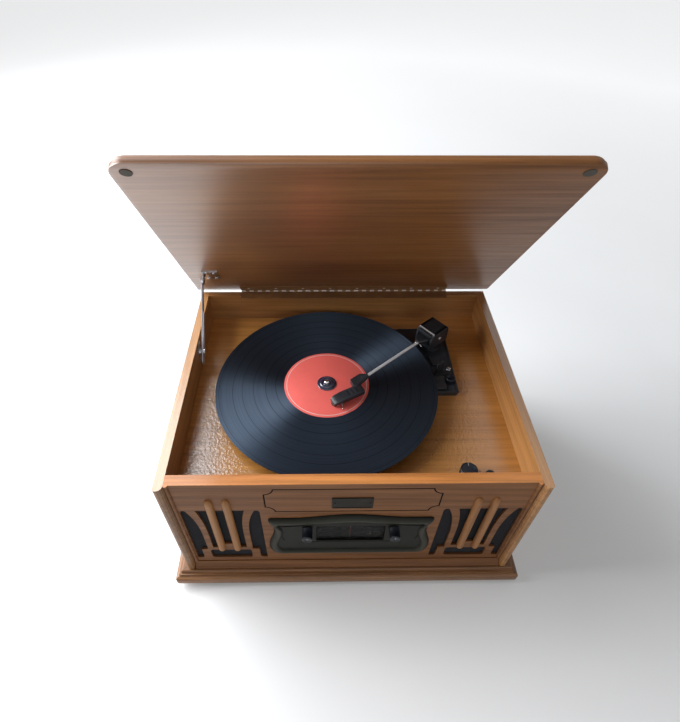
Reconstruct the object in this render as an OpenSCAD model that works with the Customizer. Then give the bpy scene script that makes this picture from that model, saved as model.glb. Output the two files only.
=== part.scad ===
// Stereo music centre: a wooden cabinet with a moulded plinth, a hinged lid on
// a slotted stay, a belt-driven record deck, and a radio with two fretted
// loudspeaker grilles. X runs to the right, Y to the back and Z up, and the
// origin is on the floor under the middle of the cabinet.

/* [Cabinet] */
// Width over the two side boards
cabinet_w = 440; // [434:1:480]
// Depth from the front panel's face to the back board's face
cabinet_d = 338; // [334:1:380]
// Height of the boards above the plinth
wall_h = 212; // [208:1:240]
// Thickness of each side board
side_t = 11; // [9:0.5:13]
// Thickness of the front panel
front_t = 13; // [9:0.5:14]
// Thickness of the back board
back_t = 10; // [8:0.5:13]
// How far the side boards stand in front of the front panel
nose_proud = 7; // [5:0.5:9]
// Depth of the record well below the rim
well_depth = 46; // [45:1:56]
// Thickness of the deck board
deck_t = 10; // [8:0.5:13]
// Thickness of the bottom board
bottom_t = 8; // [6:0.5:10]
// Height of the back board from the rim down
back_rail_h = 82; // [75:1:90]
// Thickness of the rear panel
rear_t = 3; // [2:0.5:4]
// Width of the square strips that the deck and the rear panel are fixed to
cleat_w = 12; // [10:0.5:14]

/* [Plinth] */
// Height of the plinth
plinth_h = 20; // [18:1:32]
// How far the plinth stands out all round
plinth_out = 18; // [15:0.5:22]
// How far the plinth's top step stands out
step_out = 9.5; // [8:0.5:11]
// Height of the plinth's top step
step_h = 5; // [4:0.5:7]
// Width of the plinth's rails
plinth_rail = 48; // [40:1:60]
// Height of the hollow moulding at the foot of the front panel
foot_moulding_h = 14; // [10:0.5:16]
// Height of the rubber feet
foot_h = 10; // [3:0.5:14]
// Radius of the rubber feet
foot_r = 11; // [8:0.5:14]

/* [Lid] */
// Thickness of the lid
lid_t = 11; // [9:0.5:14]
// How far the lid stands out at each side
lid_side_out = 7; // [4:0.5:10]
// How far the lid stands out in front of the front panel
lid_front_out = 14; // [8:0.5:16]
// Radius of the lid's front corners
lid_corner_r = 19; // [10:1:25]
// Radius of the lid's rounded upper edge
lid_edge_r = 5; // [3:0.5:7]
// Angle at which the lid stands open
lid_open = 56.1; // [50:0.1:62]
// Length of the piano hinge
hinge_len = 320; // [300:10:410]
// Length of one knuckle of the hinge
knuckle_len = 20; // [16:2:25]
// Radius of the hinge knuckles
knuckle_r = 2; // [1.8:0.1:2.4]
// Radius of the hinge pin
hinge_pin_r = 0.9; // [0.7:0.1:1.1]

/* [Lid stay] */
// Distance of the stay's pivot from the hinge, along the lid
stay_reach = 72; // [68:1:76]
// Distance of the stay's pivot below the lid
stay_drop = 9; // [8:0.5:10]
// Distance of the wall stud behind the middle of the cabinet
stud_y = 55; // [52:1:58]
// Height of the wall stud above the deck
stud_up = 28; // [26:1:30]
// Width of the stay arm
stay_w = 11; // [10:0.5:13]
// Thickness of the stay's sheet metal
stay_t = 1.5; // [1.2:0.1:1.8]

/* [Record deck] */
// Distance of the record spindle to the left of the cabinet's middle
spindle_left = 28; // [26:1:30]
// Diameter of the record
record_d = 301.6; // [298:0.2:302]
// Thickness of the record
record_t = 1.4; // [1.2:0.1:2]
// Diameter of the record's label
label_d = 116; // [95:1:120]
// Height of the record's upper face above the deck
record_up = 20; // [19.5:0.1:21]
// Radius of the platter
platter_r = 115; // [112:1:125]
// Radius of the spindle where the record sits
spindle_r = 3.6; // [3.5:0.05:3.6]
// Height of the spindle above the record
spindle_up = 6; // [5:0.5:8]
// Radius of the platter's drive rim
drive_rim_r = 64; // [58:1:66]
// Radius of the motor pulley
pulley_r = 5; // [4:0.5:7]
// Distance of the motor from the spindle
motor_reach = 86; // [84:1:88]
// Thickness of the drive belt
belt_t = 0.8; // [0.6:0.1:1]

/* [Tonearm] */
// Distance of the arm's pivot to the right of the spindle
pivot_right = 157; // [155:1:160]
// Distance of the arm's pivot behind the spindle
pivot_back = 89.5; // [88:0.5:92]
// Direction of the arm in plan, from the X axis
arm_dir = 219.6; // [218:0.1:222]
// Height of the arm tube's centre above the record
arm_up = 10; // [9.5:0.1:10.5]
// Radius of the arm tube
tube_r = 2; // [1.5:0.1:2.5]
// Distance from the pivot to the headshell
tube_reach = 136; // [132:1:140]
// Length of the pivot housing along the arm
yoke_l = 37; // [34:1:40]
// Width of the pivot housing
yoke_w = 30; // [28:1:34]
// Clearance under the stylus
stylus_gap = 0.5; // [0.3:0.1:1]

/* [Deck controls] */
// Distance of the deck knob to the right of the cabinet's middle
deck_knob_x = 141; // [135:1:150]
// Distance of the deck knob behind the front panel
deck_knob_in = 23; // [21:1:31]
// Radius of the deck knob
deck_knob_r = 10.5; // [8:0.5:12]
// Height of the deck knob
deck_knob_h = 15; // [10:0.5:20]
// Distance of the headphone socket to the right of the cabinet's middle
socket_x = 170; // [165:1:180]
// Radius of the headphone socket's bore
socket_r = 3.2; // [3.2:0.1:3.6]

/* [Front] */
// Distance of each grille's middle from the cabinet's middle
grille_x = 156; // [152:1:156]
// Width of each grille
grille_w = 94; // [84:1:94]
// Height of the grilles above the bottom of the front panel
grille_up = 24; // [22:1:28]
// Height of the grilles
grille_h = 130; // [122:1:132]
// Thickness of the fretwork
fret_t = 3; // [2.5:0.5:4]
// Distance between the two spindles of a grille
spindle_gap = 20; // [16:1:24]
// Radius of the grille's half-round spindles
grille_spindle_r = 5; // [4:0.5:6]
// Half width of the inlaid line's frame
inlay_half_w = 102; // [90:1:104]
// Half height of the inlaid line's frame
inlay_half_h = 26; // [20:1:27]
// Width of the inlaid line
inlay_line = 1.6; // [1:0.1:2]
// Width of the nameplate
plate_w = 48; // [40:1:60]
// Height of the nameplate
plate_h = 23; // [16:1:26]

/* [Tuner] */
// Half width of the tuner's bezel at its waist
bezel_half_w = 95; // [92:1:96]
// Height of the bezel's lower edge above the bottom of the front panel
bezel_up = 41; // [39:1:44]
// Height of the bezel at its ends
bezel_h = 94; // [90:1:96]
// Rise of the bezel's upper edge in the middle
bezel_rise = 8; // [4:1:9]
// How far the bezel's raised rim stands out
bezel_proud = 5.5; // [5:0.5:7]
// Width of the bezel's raised rim
bezel_rim = 11; // [9:0.5:12]
// Half width of the dial window
window_half_w = 43; // [38:1:44]
// Height of the dial window
window_h = 40; // [34:1:42]
// Distance of each tuner knob from the middle
knob_x = 53.5; // [53:0.5:58]
// Radius of the tuner knobs
knob_r = 6.5; // [5.5:0.5:7]
// Length of the tuner knobs
knob_l = 15; // [10:0.5:18]
// Radius of the drum on the tuning shaft
cord_drum_r = 9; // [8:0.5:9]

/* [Electrics] */
// Width of the main circuit board
amp_w = 160; // [140:5:180]
// Depth of the main circuit board
amp_d = 110; // [100:5:130]
// Width of the transformer's core
core_w = 50; // [45:1:56]
// Depth of the transformer's core
core_d = 42; // [38:1:48]
// Height of the transformer's core
core_h = 44; // [40:1:50]
// Width of the transformer's coil, across the core
coil_w = 30; // [28:1:32]

/* [Fits] */
// Radial clearance of a shaft in its bore
run = 0.05; // [0.03:0.01:0.08]
// Gap between pieces that pass each other
gap = 0.3; // [0.2:0.05:0.4]
// Radius of the knob shafts
shaft_r = 3; // [2.5:0.1:3]
// Radius of the wood screws
screw_r = 1.5; // [1.2:0.1:1.8]

/* [Hidden] */
$fn = 64;

// Colours of the materials
OAK = "#b07a45";
DARK_OAK = "#8a5a32";
BLACK = "#1b1b1d";
STEEL = "#b9bbbd";
BRONZE = "#3c3f38";

// Outer faces of the cabinet
half_w = cabinet_w / 2;
half_d = cabinet_d / 2;
inner_x = half_w - side_t;
front_in = -half_d + front_t;
back_in = half_d - back_t;
wall_z = foot_h + plinth_h;
rim_z = wall_z + wall_h;
deck_z = rim_z - well_depth;
deck_under = deck_z - deck_t;
floor_z = wall_z + bottom_t;
rail_z = rim_z - back_rail_h;
rear_y = half_d - rear_t - 4;

// Hinge and lid, with the lid closed
leaf_t = 0.8;
leaf_w = 16;
hinge_y = half_d + knuckle_r + gap;
hinge_z = rim_z + gap / 2;
lid_z = rim_z + gap + leaf_t;
pad_r = 6;
pad_inset = side_t / 2 + 0.5;
pad_reach = cabinet_d + 2;

// Lid stay
stay_x = -inner_x + 4.5;
stud_z = deck_z + stud_up;
stay_pin_r = 2;
stay_slot_pin_r = 2.4;
stay_tail = 18;
stay_closed = [hinge_y - stay_reach, lid_z - stay_drop];
stay_pivot = turned(stay_closed, [hinge_y, hinge_z], -lid_open);
stay_vec = [stud_y, stud_z] - stay_pivot;
stay_len = norm(stay_vec);
stay_angle = atan2(stay_vec[1], stay_vec[0]);
stay_short = norm([stud_y, stud_z] - stay_closed);

// Record deck
spindle_x = -spindle_left;
record_z = deck_z + record_up;
record_r = record_d / 2;
label_t = 0.15;
mat_t = 2;
mat_z = record_z - record_t - mat_t;
platter_t = 3;
base_h = 6;
base_z = deck_z + base_h;
base_skin = 2.5;
base_r = platter_r + 7;
tub_r = drive_rim_r + 12;
tub_floor_z = base_z - 14;
lobe_r = pulley_r + 10;
motor_dir = 135;
motor_x = spindle_x + motor_reach * cos(motor_dir);
motor_y = motor_reach * sin(motor_dir);
motor_r = 17;
motor_h = 26;
deck_cut_gap = 1.5;
bearing_r = 7;
bearing_z = tub_floor_z - 14;
belt_z = tub_floor_z + 5;
belt_h = 5;
hub_cap_r = 13;
hub_cap_h = 3;
spindle_shaft_r = 3;

// Tonearm
pivot_x = spindle_x + pivot_right;
arm_z = record_z + arm_up;
yoke_z = base_z + 11;
yoke_top = arm_z + 13.5;
yoke_floor = 6.5;
cheek_t = 4.2;
yoke_front_t = 3.5;
neck_h = 10;
neck_l = 32;
pillar_pin_r = 3;
lift_pin_r = 1.5;
head_t = 7;
rest_reach = 60;
rest_swing = 52;

// Extent of the deck's plate to the right, and front to back
plate_right = pivot_x + 26;
plate_back = pivot_back + 35;
plate_front = -6;
base_corner_r = 4;

// Grilles
grille_z = wall_z + grille_up;
grille_top = grille_z + grille_h;
cloth_t = 1;
baffle_t = front_t - fret_t - cloth_t;
speaker_r = 50;
speaker_z = grille_z + grille_h / 2;
fret_bar = 7.5;
rebate_margin = 5;
grille_spindle_z = grille_z + 26;
grille_spindle_top = grille_top + 26;

// Inlaid line and nameplate
inlay_z = rim_z - 10 - inlay_half_h;
plate_z = inlay_z - 5;

// Tuner, with its heights worked out from the bezel's lower edge
bezel_z = wall_z + bezel_up;
bezel_back = -half_d;
field_y = bezel_back - 2.5;
knob_z = bezel_z + bezel_h - 24;
// The window has twice as much of the bezel under it as over it
window_z = bezel_z + (bezel_h - window_h) * 2 / 3;
window_t = 1.6;
scale_t = 1.5;
scale_y = bezel_back + 3;
scale_z0 = bezel_z + 13;
scale_z1 = window_z + window_h + 2;
cut_half_w = bezel_half_w - 7;
scale_half_w = cut_half_w - 7;
cut_z0 = scale_z0 - 5;
cut_z1 = bezel_z + bezel_h - 3;
board_y = front_in + 8;
board_t = 1.6;
board_half_w = bezel_half_w + 5;
board_z0 = bezel_z - 8;
board_z1 = bezel_z + bezel_h + 6;
post_x = cut_half_w + 7;
drum_r = 27;
drum_x = 12;
drum_z = knob_z - 24;
drum_y = board_y - 7;
rail_r = 1.5;
rail_zc = scale_z1 + 5;
rail_yc = scale_y + 6;
pot_r = 10;
pot_l = 8;
led_x = 26;
led_r = 1.5;

// Electrics on the bottom board
amp_x = 10;
amp_y = 15;
amp_up = 8;
sink_h = 34.4;
core_x = inner_x - 69;
core_y = 71;
core_leg = 6;
core_leg_z = 10;
coil_out = 8;

// Deck controls
deck_knob_y = front_in + deck_knob_in;
switch_bush_r = 4.5;
socket_y = deck_knob_y + 2;
socket_l = 16;
speed_x = pivot_x + 17;
speed_y = 14.5;
stop_x = pivot_x + 2.5;
stop_y = 11.5;
base_screws = [[pivot_x + 8, 39], [pivot_x + 20, 39], [pivot_x - 45, plate_back - 12]];

// Rear panel and the things on it
screw_head_r = 2 * screw_r;
screw_l = 12;
screw_head_h = 1.6;
batten_x = inner_x - cleat_w / 2;
panel_screw_z = [wall_z + 22, (wall_z + rail_z) / 2, rail_z - 18];
jack_r = 4;
jack_pitch = 16;
jack_x = -120;
jack_z = wall_z + 50;
inlet_x = 140;
inlet_z = wall_z + 38;
inlet_w = 24;
inlet_h = 17;

// A point turned about a centre in the plane of Y and Z
function turned(p, c, a) = [
    c[0] + (p[0] - c[0]) * cos(a) - (p[1] - c[1]) * sin(a),
    c[1] + (p[0] - c[0]) * sin(a) + (p[1] - c[1]) * cos(a)
];

// A box between two opposite corners
module block(lo, hi) {
    translate(lo) cube(hi - lo);
}

// A shape drawn in X and Z, made solid from y0 back to y1
module upright(y0, y1) {
    translate([0, y1, 0]) rotate([90, 0, 0]) linear_extrude(y1 - y0) children();
}

// A shape drawn in Y and Z, made solid from x0 to x1
module lengthwise(x0, x1) {
    translate([x0, 0, 0]) rotate([90, 0, 90]) linear_extrude(x1 - x0) children();
}

// A round bar along Y from y0 to y1
module rod_y(x, z, r, y0, y1) {
    translate([x, y1, z]) rotate([90, 0, 0]) cylinder(h = y1 - y0, r = r);
}

// A round bar along X from x0 to x1
module rod_x(y, z, r, x0, x1) {
    translate([x0, y, z]) rotate([0, 90, 0]) cylinder(h = x1 - x0, r = r);
}

// A rectangle between two corners, with round corners
module round_rect(lo, hi, r) {
    translate(lo + [r, 0]) square([hi[0] - lo[0] - 2 * r, hi[1] - lo[1]]);
    translate(lo + [0, r]) square([hi[0] - lo[0], hi[1] - lo[1] - 2 * r]);
    for (x = [lo[0] + r, hi[0] - r], y = [lo[1] + r, hi[1] - r]) {
        translate([x, y]) circle(r);
    }
}

// Both sides of the cabinet
module both_sides() {
    children();
    mirror([1, 0, 0]) children();
}

// The lid and what is fixed to it, turned from closed to open
module opened() {
    translate([0, hinge_y, hinge_z]) rotate([-lid_open, 0, 0])
        translate([0, -hinge_y, -hinge_z]) children();
}

// The tonearm's own directions: X along the arm, Y across it
module along_arm() {
    translate([pivot_x, pivot_back, 0]) rotate([0, 0, arm_dir]) children();
}

// ---- Plinth and cabinet ----

// Section through the plinth, symmetrical about its middle
module plinth_section(half) {
    lower_h = plinth_h - step_h - 3;
    edge_r = 5;
    wide = half + plinth_out;
    mid = half + step_out + 3;
    translate([-wide, foot_h]) square([2 * wide, lower_h - edge_r]);
    translate([-wide + edge_r, foot_h]) square([2 * (wide - edge_r), lower_h]);
    for (x = [-wide + edge_r, wide - edge_r]) {
        translate([x, foot_h + lower_h - edge_r]) circle(edge_r);
    }
    translate([-mid, foot_h]) square([2 * mid, plinth_h - step_h]);
    translate([-half - step_out + 2, foot_h]) square([2 * (half + step_out - 2), plinth_h]);
    translate([-half - step_out, foot_h]) square([2 * (half + step_out), plinth_h - 2]);
    for (x = [-half - step_out + 2, half + step_out - 2]) {
        translate([x, foot_h + plinth_h - 2]) circle(2);
    }
}

module plinth() {
    out_x = half_w + plinth_out;
    out_y = half_d + plinth_out;
    color(OAK) difference() {
        intersection() {
            lengthwise(-out_x, out_x) plinth_section(half_d);
            upright(-out_y, out_y) plinth_section(half_w);
            linear_extrude(wall_z) round_rect([-out_x, -out_y], [out_x, out_y], 4);
        }
        block(
            [-out_x + plinth_rail, -out_y + plinth_rail, 0],
            [out_x - plinth_rail, out_y - plinth_rail, wall_z + 1]
        );
    }
}

module rubber_feet() {
    color(BLACK) for (x = [-1, 1], y = [-1, 1]) {
        translate([
            x * (half_w + plinth_out - plinth_rail / 2),
            y * (half_d + plinth_out - plinth_rail / 2),
            0
        ]) cylinder(h = foot_h, r1 = foot_r - 1, r2 = foot_r);
    }
}

module bottom_board() {
    color(DARK_OAK) block([-inner_x, front_in, wall_z], [inner_x, rear_y, floor_z]);
}

// Plan of the right side board, with its inner front edge rounded
module side_plan() {
    nose = -half_d - nose_proud;
    r = nose_proud;
    translate([inner_x, nose + r]) square([side_t, cabinet_d + nose_proud - r]);
    translate([inner_x + r, nose]) square([side_t - r, r + 1]);
    translate([inner_x + r, nose + r]) circle(r);
}

module side_panel_right() {
    color(OAK) translate([0, 0, wall_z]) linear_extrude(wall_h) side_plan();
}

module side_panel_left() {
    color(OAK) mirror([1, 0, 0]) translate([0, 0, wall_z]) linear_extrude(wall_h) side_plan();
}

// Height of a point on the grille, from 0 at its foot to 1 at its top
function grille_at(t) = grille_z + grille_h * t;

// How far the fretwork's curved bars lean outwards at a share of the height
function flare(t) = max(0, (t - 0.4) / 0.6) ^ 3;

// One outer leaf of a grille, to the right of its middle
module grille_leaf() {
    steps = 16;
    foot = 0.2;
    inner = grille_w / 2 - 17.5;
    outer = grille_w / 2;
    curve = [
        for (i = [0:steps])
            let (t = foot + (1 - foot) * i / steps)
            [inner + 11.5 * flare(t), grille_at(t)]
    ];
    polygon(concat(
        [[outer - 7, grille_z], [outer, grille_z], [outer, grille_at(0.97)]],
        [[outer - 2, grille_top]],
        [for (i = [steps:-1:0]) curve[i]],
        [[outer - 9, grille_at(foot) - 1], [outer - 9, grille_z + 4]]
    ));
}

// The wide opening in the middle of a grille
module grille_middle() {
    steps = 16;
    foot = 0.24;
    inner = grille_w / 2 - 17.5 - fret_bar;
    curve = [
        for (i = [0:steps])
            let (t = foot + (1 - foot) * i / steps)
            [inner + 7 * flare(t), grille_at(t)]
    ];
    difference() {
        polygon(concat(
            curve,
            [for (i = [steps:-1:0]) [-curve[i][0], curve[i][1]]]
        ));
        translate([-10, grille_at(foot) - 1]) square([20, 11]);
    }
}

// All the openings of one grille, about its own middle
module grille_openings() {
    slot_h = grille_h * 0.18;
    slot_half = grille_w / 2 - 20;
    grille_leaf();
    mirror([1, 0]) grille_leaf();
    grille_middle();
    round_rect([-slot_half, grille_z], [slot_half, grille_z + slot_h], 4);
}

// The inlaid line's frame, with scooped corners, shrunk by g
module inlay_frame(g) {
    scoop = 11;
    difference() {
        translate([-inlay_half_w + g, -inlay_half_h + g])
            square(2 * [inlay_half_w - g, inlay_half_h - g]);
        for (x = [-inlay_half_w, inlay_half_w], y = [-inlay_half_h, inlay_half_h]) {
            translate([x, y]) circle(scoop + g);
        }
    }
}

module front_panel() {
    color(OAK) difference() {
        union() {
            block([-inner_x, -half_d, wall_z], [inner_x, front_in, rim_z]);
            both_sides() translate([inner_x - 2.5, -half_d, wall_z + foot_moulding_h])
                cylinder(h = rim_z - wall_z - foot_moulding_h, r = 2.5);
        }
        both_sides() translate([grille_x, 0, 0]) {
            upright(-half_d - 1, front_in) grille_openings();
            block(
                [-grille_w / 2 - rebate_margin, -half_d + fret_t, grille_z - rebate_margin],
                [grille_w / 2 + rebate_margin, front_in + 1, grille_top + rebate_margin]
            );
        }
        block([-cut_half_w, -half_d - 1, cut_z0], [cut_half_w, front_in + 1, cut_z1]);
        upright(-half_d - 1, -half_d + 1) translate([0, inlay_z]) difference() {
            inlay_frame(0);
            inlay_frame(inlay_line);
        }
    }
}

module base_moulding() {
    depth = min(nose_proud, step_out) - 1;
    in = depth - 1.2;
    drop = foot_moulding_h - 3;
    cove_r = (in * in + drop * drop) / (2 * in);
    color(OAK) lengthwise(-inner_x, inner_x) difference() {
        translate([-half_d - depth, wall_z]) square([depth, foot_moulding_h]);
        translate([-half_d - 1.2 - cove_r, wall_z + foot_moulding_h]) circle(cove_r);
    }
}

module back_rail() {
    color(OAK) difference() {
        block([-inner_x, back_in, rail_z], [inner_x, half_d, rim_z]);
        block(
            [-hinge_len / 2 - gap, half_d - leaf_w - gap, rim_z - leaf_t],
            [hinge_len / 2 + gap, half_d + 1, rim_z + 1]
        );
    }
}

// Places of the rear panel's screws
module at_panel_screws() {
    for (x = [-batten_x, batten_x], z = panel_screw_z) {
        translate([x, 0, z]) children();
    }
}

module rear_panel() {
    color("#4a3a2c") difference() {
        block([-inner_x, rear_y, wall_z], [inner_x, rear_y + rear_t, rail_z]);
        for (i = [-7:7]) {
            block([i * 8 - 2, rear_y - 1, rail_z - 60], [i * 8 + 2, half_d, rail_z - 20]);
        }
        for (i = [0:3]) {
            rod_y(jack_x + i * jack_pitch, jack_z, jack_r + gap, rear_y - 1, half_d);
        }
        block(
            [inlet_x - inlet_w / 2 - gap, rear_y - 1, inlet_z - inlet_h / 2 - gap],
            [inlet_x + inlet_w / 2 + gap, half_d, inlet_z + inlet_h / 2 + gap]
        );
        at_panel_screws() rod_y(0, 0, screw_r + run, rear_y - 1, half_d);
    }
}

// One wood screw, its head on the plane z = 0 and its shank below
module wood_screw() {
    difference() {
        cylinder(h = screw_head_h, r = screw_head_r);
        translate([-screw_head_r, -0.3, screw_head_h - 0.6]) cube([2 * screw_head_r, 0.6, 1]);
    }
    translate([0, 0, -screw_l]) cylinder(h = screw_l + 0.5, r = screw_r);
}

module wood_screws() {
    color(STEEL) {
        at_panel_screws() translate([0, rear_y + rear_t, 0]) rotate([-90, 0, 0]) wood_screw();
        for (p = base_screws) {
            translate([p[0], p[1], base_z]) wood_screw();
        }
    }
}

module inner_cleats() {
    color(DARK_OAK) difference() {
        both_sides() {
            block(
                [inner_x - cleat_w, front_in, deck_under - cleat_w],
                [inner_x, back_in, deck_under]
            );
            block(
                [inner_x - cleat_w, rear_y - cleat_w, floor_z],
                [inner_x, rear_y, deck_under - cleat_w]
            );
        }
        at_panel_screws() rod_y(0, 0, screw_r + run, rear_y - cleat_w, rear_y + 1);
        block(
            [-inner_x, back_in, rail_z],
            [inner_x, half_d, rim_z]
        );
    }
}

module deck_board() {
    color(OAK) difference() {
        block([-inner_x, front_in, deck_under], [inner_x, back_in, deck_z]);
        linear_extrude(rim_z) tub_outline(-base_skin - deck_cut_gap);
        translate([deck_knob_x, deck_knob_y, 0]) cylinder(h = rim_z, r = switch_bush_r + run);
        translate([socket_x, socket_y, 0]) cylinder(h = rim_z, r = socket_r + 2 + run);
        translate([speed_x, speed_y, 0]) cylinder(h = rim_z, r = 8);
        block([stop_x - 5, stop_y - 8, 0], [stop_x + 5, stop_y + 8, rim_z]);
        for (p = base_screws) {
            translate([p[0], p[1], base_z - screw_l]) cylinder(h = screw_l, r = screw_r + run);
        }
    }
}

// ---- Loudspeakers ----

module speaker_baffles() {
    color(BLACK) both_sides() translate([grille_x, 0, 0]) difference() {
        block(
            [-grille_w / 2 - rebate_margin, front_in - baffle_t, grille_z - rebate_margin],
            [grille_w / 2 + rebate_margin, front_in, grille_top + rebate_margin]
        );
        rod_y(0, speaker_z, speaker_r - 7, front_in - baffle_t - 1, front_in + 1);
    }
}

module grille_cloths() {
    y0 = -half_d + fret_t;
    color(BLACK) both_sides() translate([grille_x, 0, 0]) block(
        [-grille_w / 2 - rebate_margin, y0, grille_z - rebate_margin],
        [grille_w / 2 + rebate_margin, y0 + cloth_t, grille_top + rebate_margin]
    );
}

// One half-round spindle with domed ends, flat against the panel
module grille_spindle() {
    r = grille_spindle_r;
    z0 = grille_spindle_z + r;
    z1 = grille_spindle_top - r;
    intersection() {
        union() {
            translate([0, 0, z0]) cylinder(h = z1 - z0, r = r);
            translate([0, 0, z0]) sphere(r);
            translate([0, 0, z1]) sphere(r);
        }
        block([-r, -r, 0], [r, 0, rim_z]);
    }
}

module grille_spindles() {
    color(OAK) both_sides() for (x = [-spindle_gap / 2, spindle_gap / 2]) {
        translate([grille_x + x, -half_d, 0]) grille_spindle();
    }
}

module speaker_frames() {
    color(BLACK) both_sides() translate([grille_x, front_in, speaker_z]) rotate([-90, 0, 0])
        difference() {
            union() {
                cylinder(h = 2, r = speaker_r);
                cylinder(h = 28, r1 = speaker_r - 2, r2 = 30);
                cylinder(h = 44, r = 30);
            }
            translate([0, 0, -1]) cylinder(h = 6, r = speaker_r - 7.5);
            translate([0, 0, 4]) cylinder(h = 22, r1 = speaker_r - 8, r2 = 20);
        }
}

module speaker_cones() {
    color("#2a2623") both_sides() translate([grille_x, front_in, speaker_z]) rotate([-90, 0, 0])
        rotate_extrude() polygon([
            [0, 18], [10, 18], [speaker_r - 13, 3.4], [speaker_r - 7.9, 3.4],
            [speaker_r - 7.9, 4.2], [speaker_r - 12.5, 4.4], [11, 20.5], [11, 26], [0, 26]
        ]);
}

module nameplate() {
    color(BRONZE) difference() {
        block([-plate_w / 2, -half_d - 1.4, plate_z - plate_h / 2],
            [plate_w / 2, -half_d, plate_z + plate_h / 2]);
        block([-plate_w / 2 + 1.5, -half_d - 2, plate_z - plate_h / 2 + 1.5],
            [plate_w / 2 - 1.5, -half_d - 1, plate_z + plate_h / 2 - 1.5]);
    }
}

// ---- Tuner ----

// Upper edge of the bezel at a distance from its middle
function bezel_top(x) =
    let (reach = bezel_half_w * 0.78)
    bezel_z + bezel_h + (abs(x) < reach ? bezel_rise * cos(90 * x / reach) ^ 2 : 0);

// Right side of the bezel's outline, from the top corner down
bezel_side = [
    [bezel_half_w + 2, bezel_h], [bezel_half_w + 5, bezel_h - 2],
    [bezel_half_w + 5.5, bezel_h - 6], [bezel_half_w + 3, bezel_h - 12],
    [bezel_half_w + 0.6, bezel_h - 19], [bezel_half_w, bezel_h - 27],
    [bezel_half_w + 1, bezel_h - 38], [bezel_half_w + 4, bezel_h - 49],
    [bezel_half_w + 7, bezel_h - 60], [bezel_half_w + 8.2, bezel_h - 70],
    [bezel_half_w + 8, 14], [bezel_half_w + 5, 5], [bezel_half_w, 0]
];

// The bezel's outline as a closed ring of points
top_steps = 16;
bezel_ring = concat(
    [for (i = [-top_steps:top_steps])
        let (x = bezel_half_w * i / top_steps) [x, bezel_top(x)]],
    [for (p = bezel_side) [p[0], bezel_z + p[1]]],
    [for (i = [len(bezel_side) - 1:-1:0]) [-bezel_side[i][0], bezel_z + bezel_side[i][1]]]
);

// The ring drawn in towards its middle by a distance
function drawn_in(ring, d) =
    let (mid = bezel_z + bezel_h / 2)
    [for (p = ring) [
        p[0] * (1 - d / bezel_half_w),
        mid + (p[1] - mid) * (1 - 2 * d / bezel_h)
    ]];

module tuner_bezel() {
    crest = bezel_back - bezel_proud;
    color(BRONZE) difference() {
        union() {
            upright(bezel_back - 2, bezel_back) polygon(bezel_ring);
            upright(bezel_back - 3.8, bezel_back - 1) polygon(drawn_in(bezel_ring, 1.5));
            upright(crest, bezel_back - 3) polygon(drawn_in(bezel_ring, 4));
        }
        upright(crest - 1, field_y) polygon(drawn_in(bezel_ring, bezel_rim));
        upright(crest, bezel_back + 1) translate([0, window_z])
            round_rect([-window_half_w, 0], [window_half_w, window_h], 2);
        for (x = [-knob_x, knob_x]) {
            rod_y(x, knob_z, shaft_r + gap, crest, bezel_back + 1);
        }
    }
    color(BRONZE) both_sides() for (z = [scale_z0 + 4, scale_z1 - 4]) {
        rod_y(scale_half_w - 5, z, 2.5, bezel_back - 1, scale_y - scale_t);
    }
}

module dial_scale() {
    color("#d8cfa8") difference() {
        block([-scale_half_w, scale_y - scale_t, scale_z0], [scale_half_w, scale_y, scale_z1]);
        for (x = [-knob_x, knob_x]) {
            rod_y(x, knob_z, shaft_r + gap, scale_y - 4, scale_y + 1);
        }
        rod_y(led_x, window_z + 12, led_r + run, scale_y - 4, scale_y + 1);
    }
}

module dial_window() {
    color("#cfd8dc", 0.4) upright(bezel_back - window_t, bezel_back) translate([0, window_z])
        round_rect([-window_half_w + run, run], [window_half_w - run, window_h - run], 2);
}

module stereo_led() {
    color("#d86b62") {
        rod_y(led_x, window_z + 12, led_r, scale_y - scale_t - 0.3, scale_y + 6);
        rod_y(led_x, window_z + 12, led_r + 0.5, scale_y, scale_y + 1);
    }
}

module tuner_board() {
    color("#2f5a35") difference() {
        block([-board_half_w, board_y, board_z0], [board_half_w, board_y + board_t, board_z1]);
        rod_y(drum_x, drum_z, shaft_r + run, board_y - 1, board_y + board_t + 1);
        rod_y(knob_x, knob_z, shaft_r + run, board_y - 1, board_y + board_t + 1);
    }
    color(STEEL) {
        both_sides() for (z = [board_z0 + 6, board_z1 - 6]) {
            rod_y(post_x, z, 3, front_in, board_y);
        }
        difference() {
            rod_y(-knob_x, knob_z, pot_r, board_y - pot_l, board_y);
            rod_y(-knob_x, knob_z, shaft_r + run, board_y - pot_l - 1, board_y - 1);
        }
        difference() {
            block(
                [drum_x - 16, board_y + board_t, drum_z - 16],
                [drum_x + 16, board_y + board_t + 26, drum_z + 16]
            );
            rod_y(drum_x, drum_z, shaft_r + run, board_y, board_y + board_t + 22);
        }
        difference() {
            rod_y(knob_x, knob_z, 6, board_y + board_t, board_y + board_t + 10);
            rod_y(knob_x, knob_z, shaft_r + run, board_y, board_y + board_t + 8);
        }
        rod_x(rail_yc, rail_zc, rail_r, -cut_half_w + 8, cut_half_w - 8);
        both_sides() block(
            [cut_half_w - 10, rail_yc - 1, rail_zc - 1],
            [cut_half_w - 8, board_y, rail_zc + 1]
        );
    }
}

module tuning_drum() {
    color("#e6e2d8") {
        difference() {
            rod_y(drum_x, drum_z, drum_r, drum_y, drum_y + 4);
            translate([drum_x, drum_y + 2, drum_z]) rotate([90, 0, 0]) rotate_extrude()
                translate([drum_r + 0.6, 0]) circle(1.4);
        }
        rod_y(drum_x, drum_z, shaft_r, drum_y, board_y + board_t + 20);
    }
}

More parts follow.
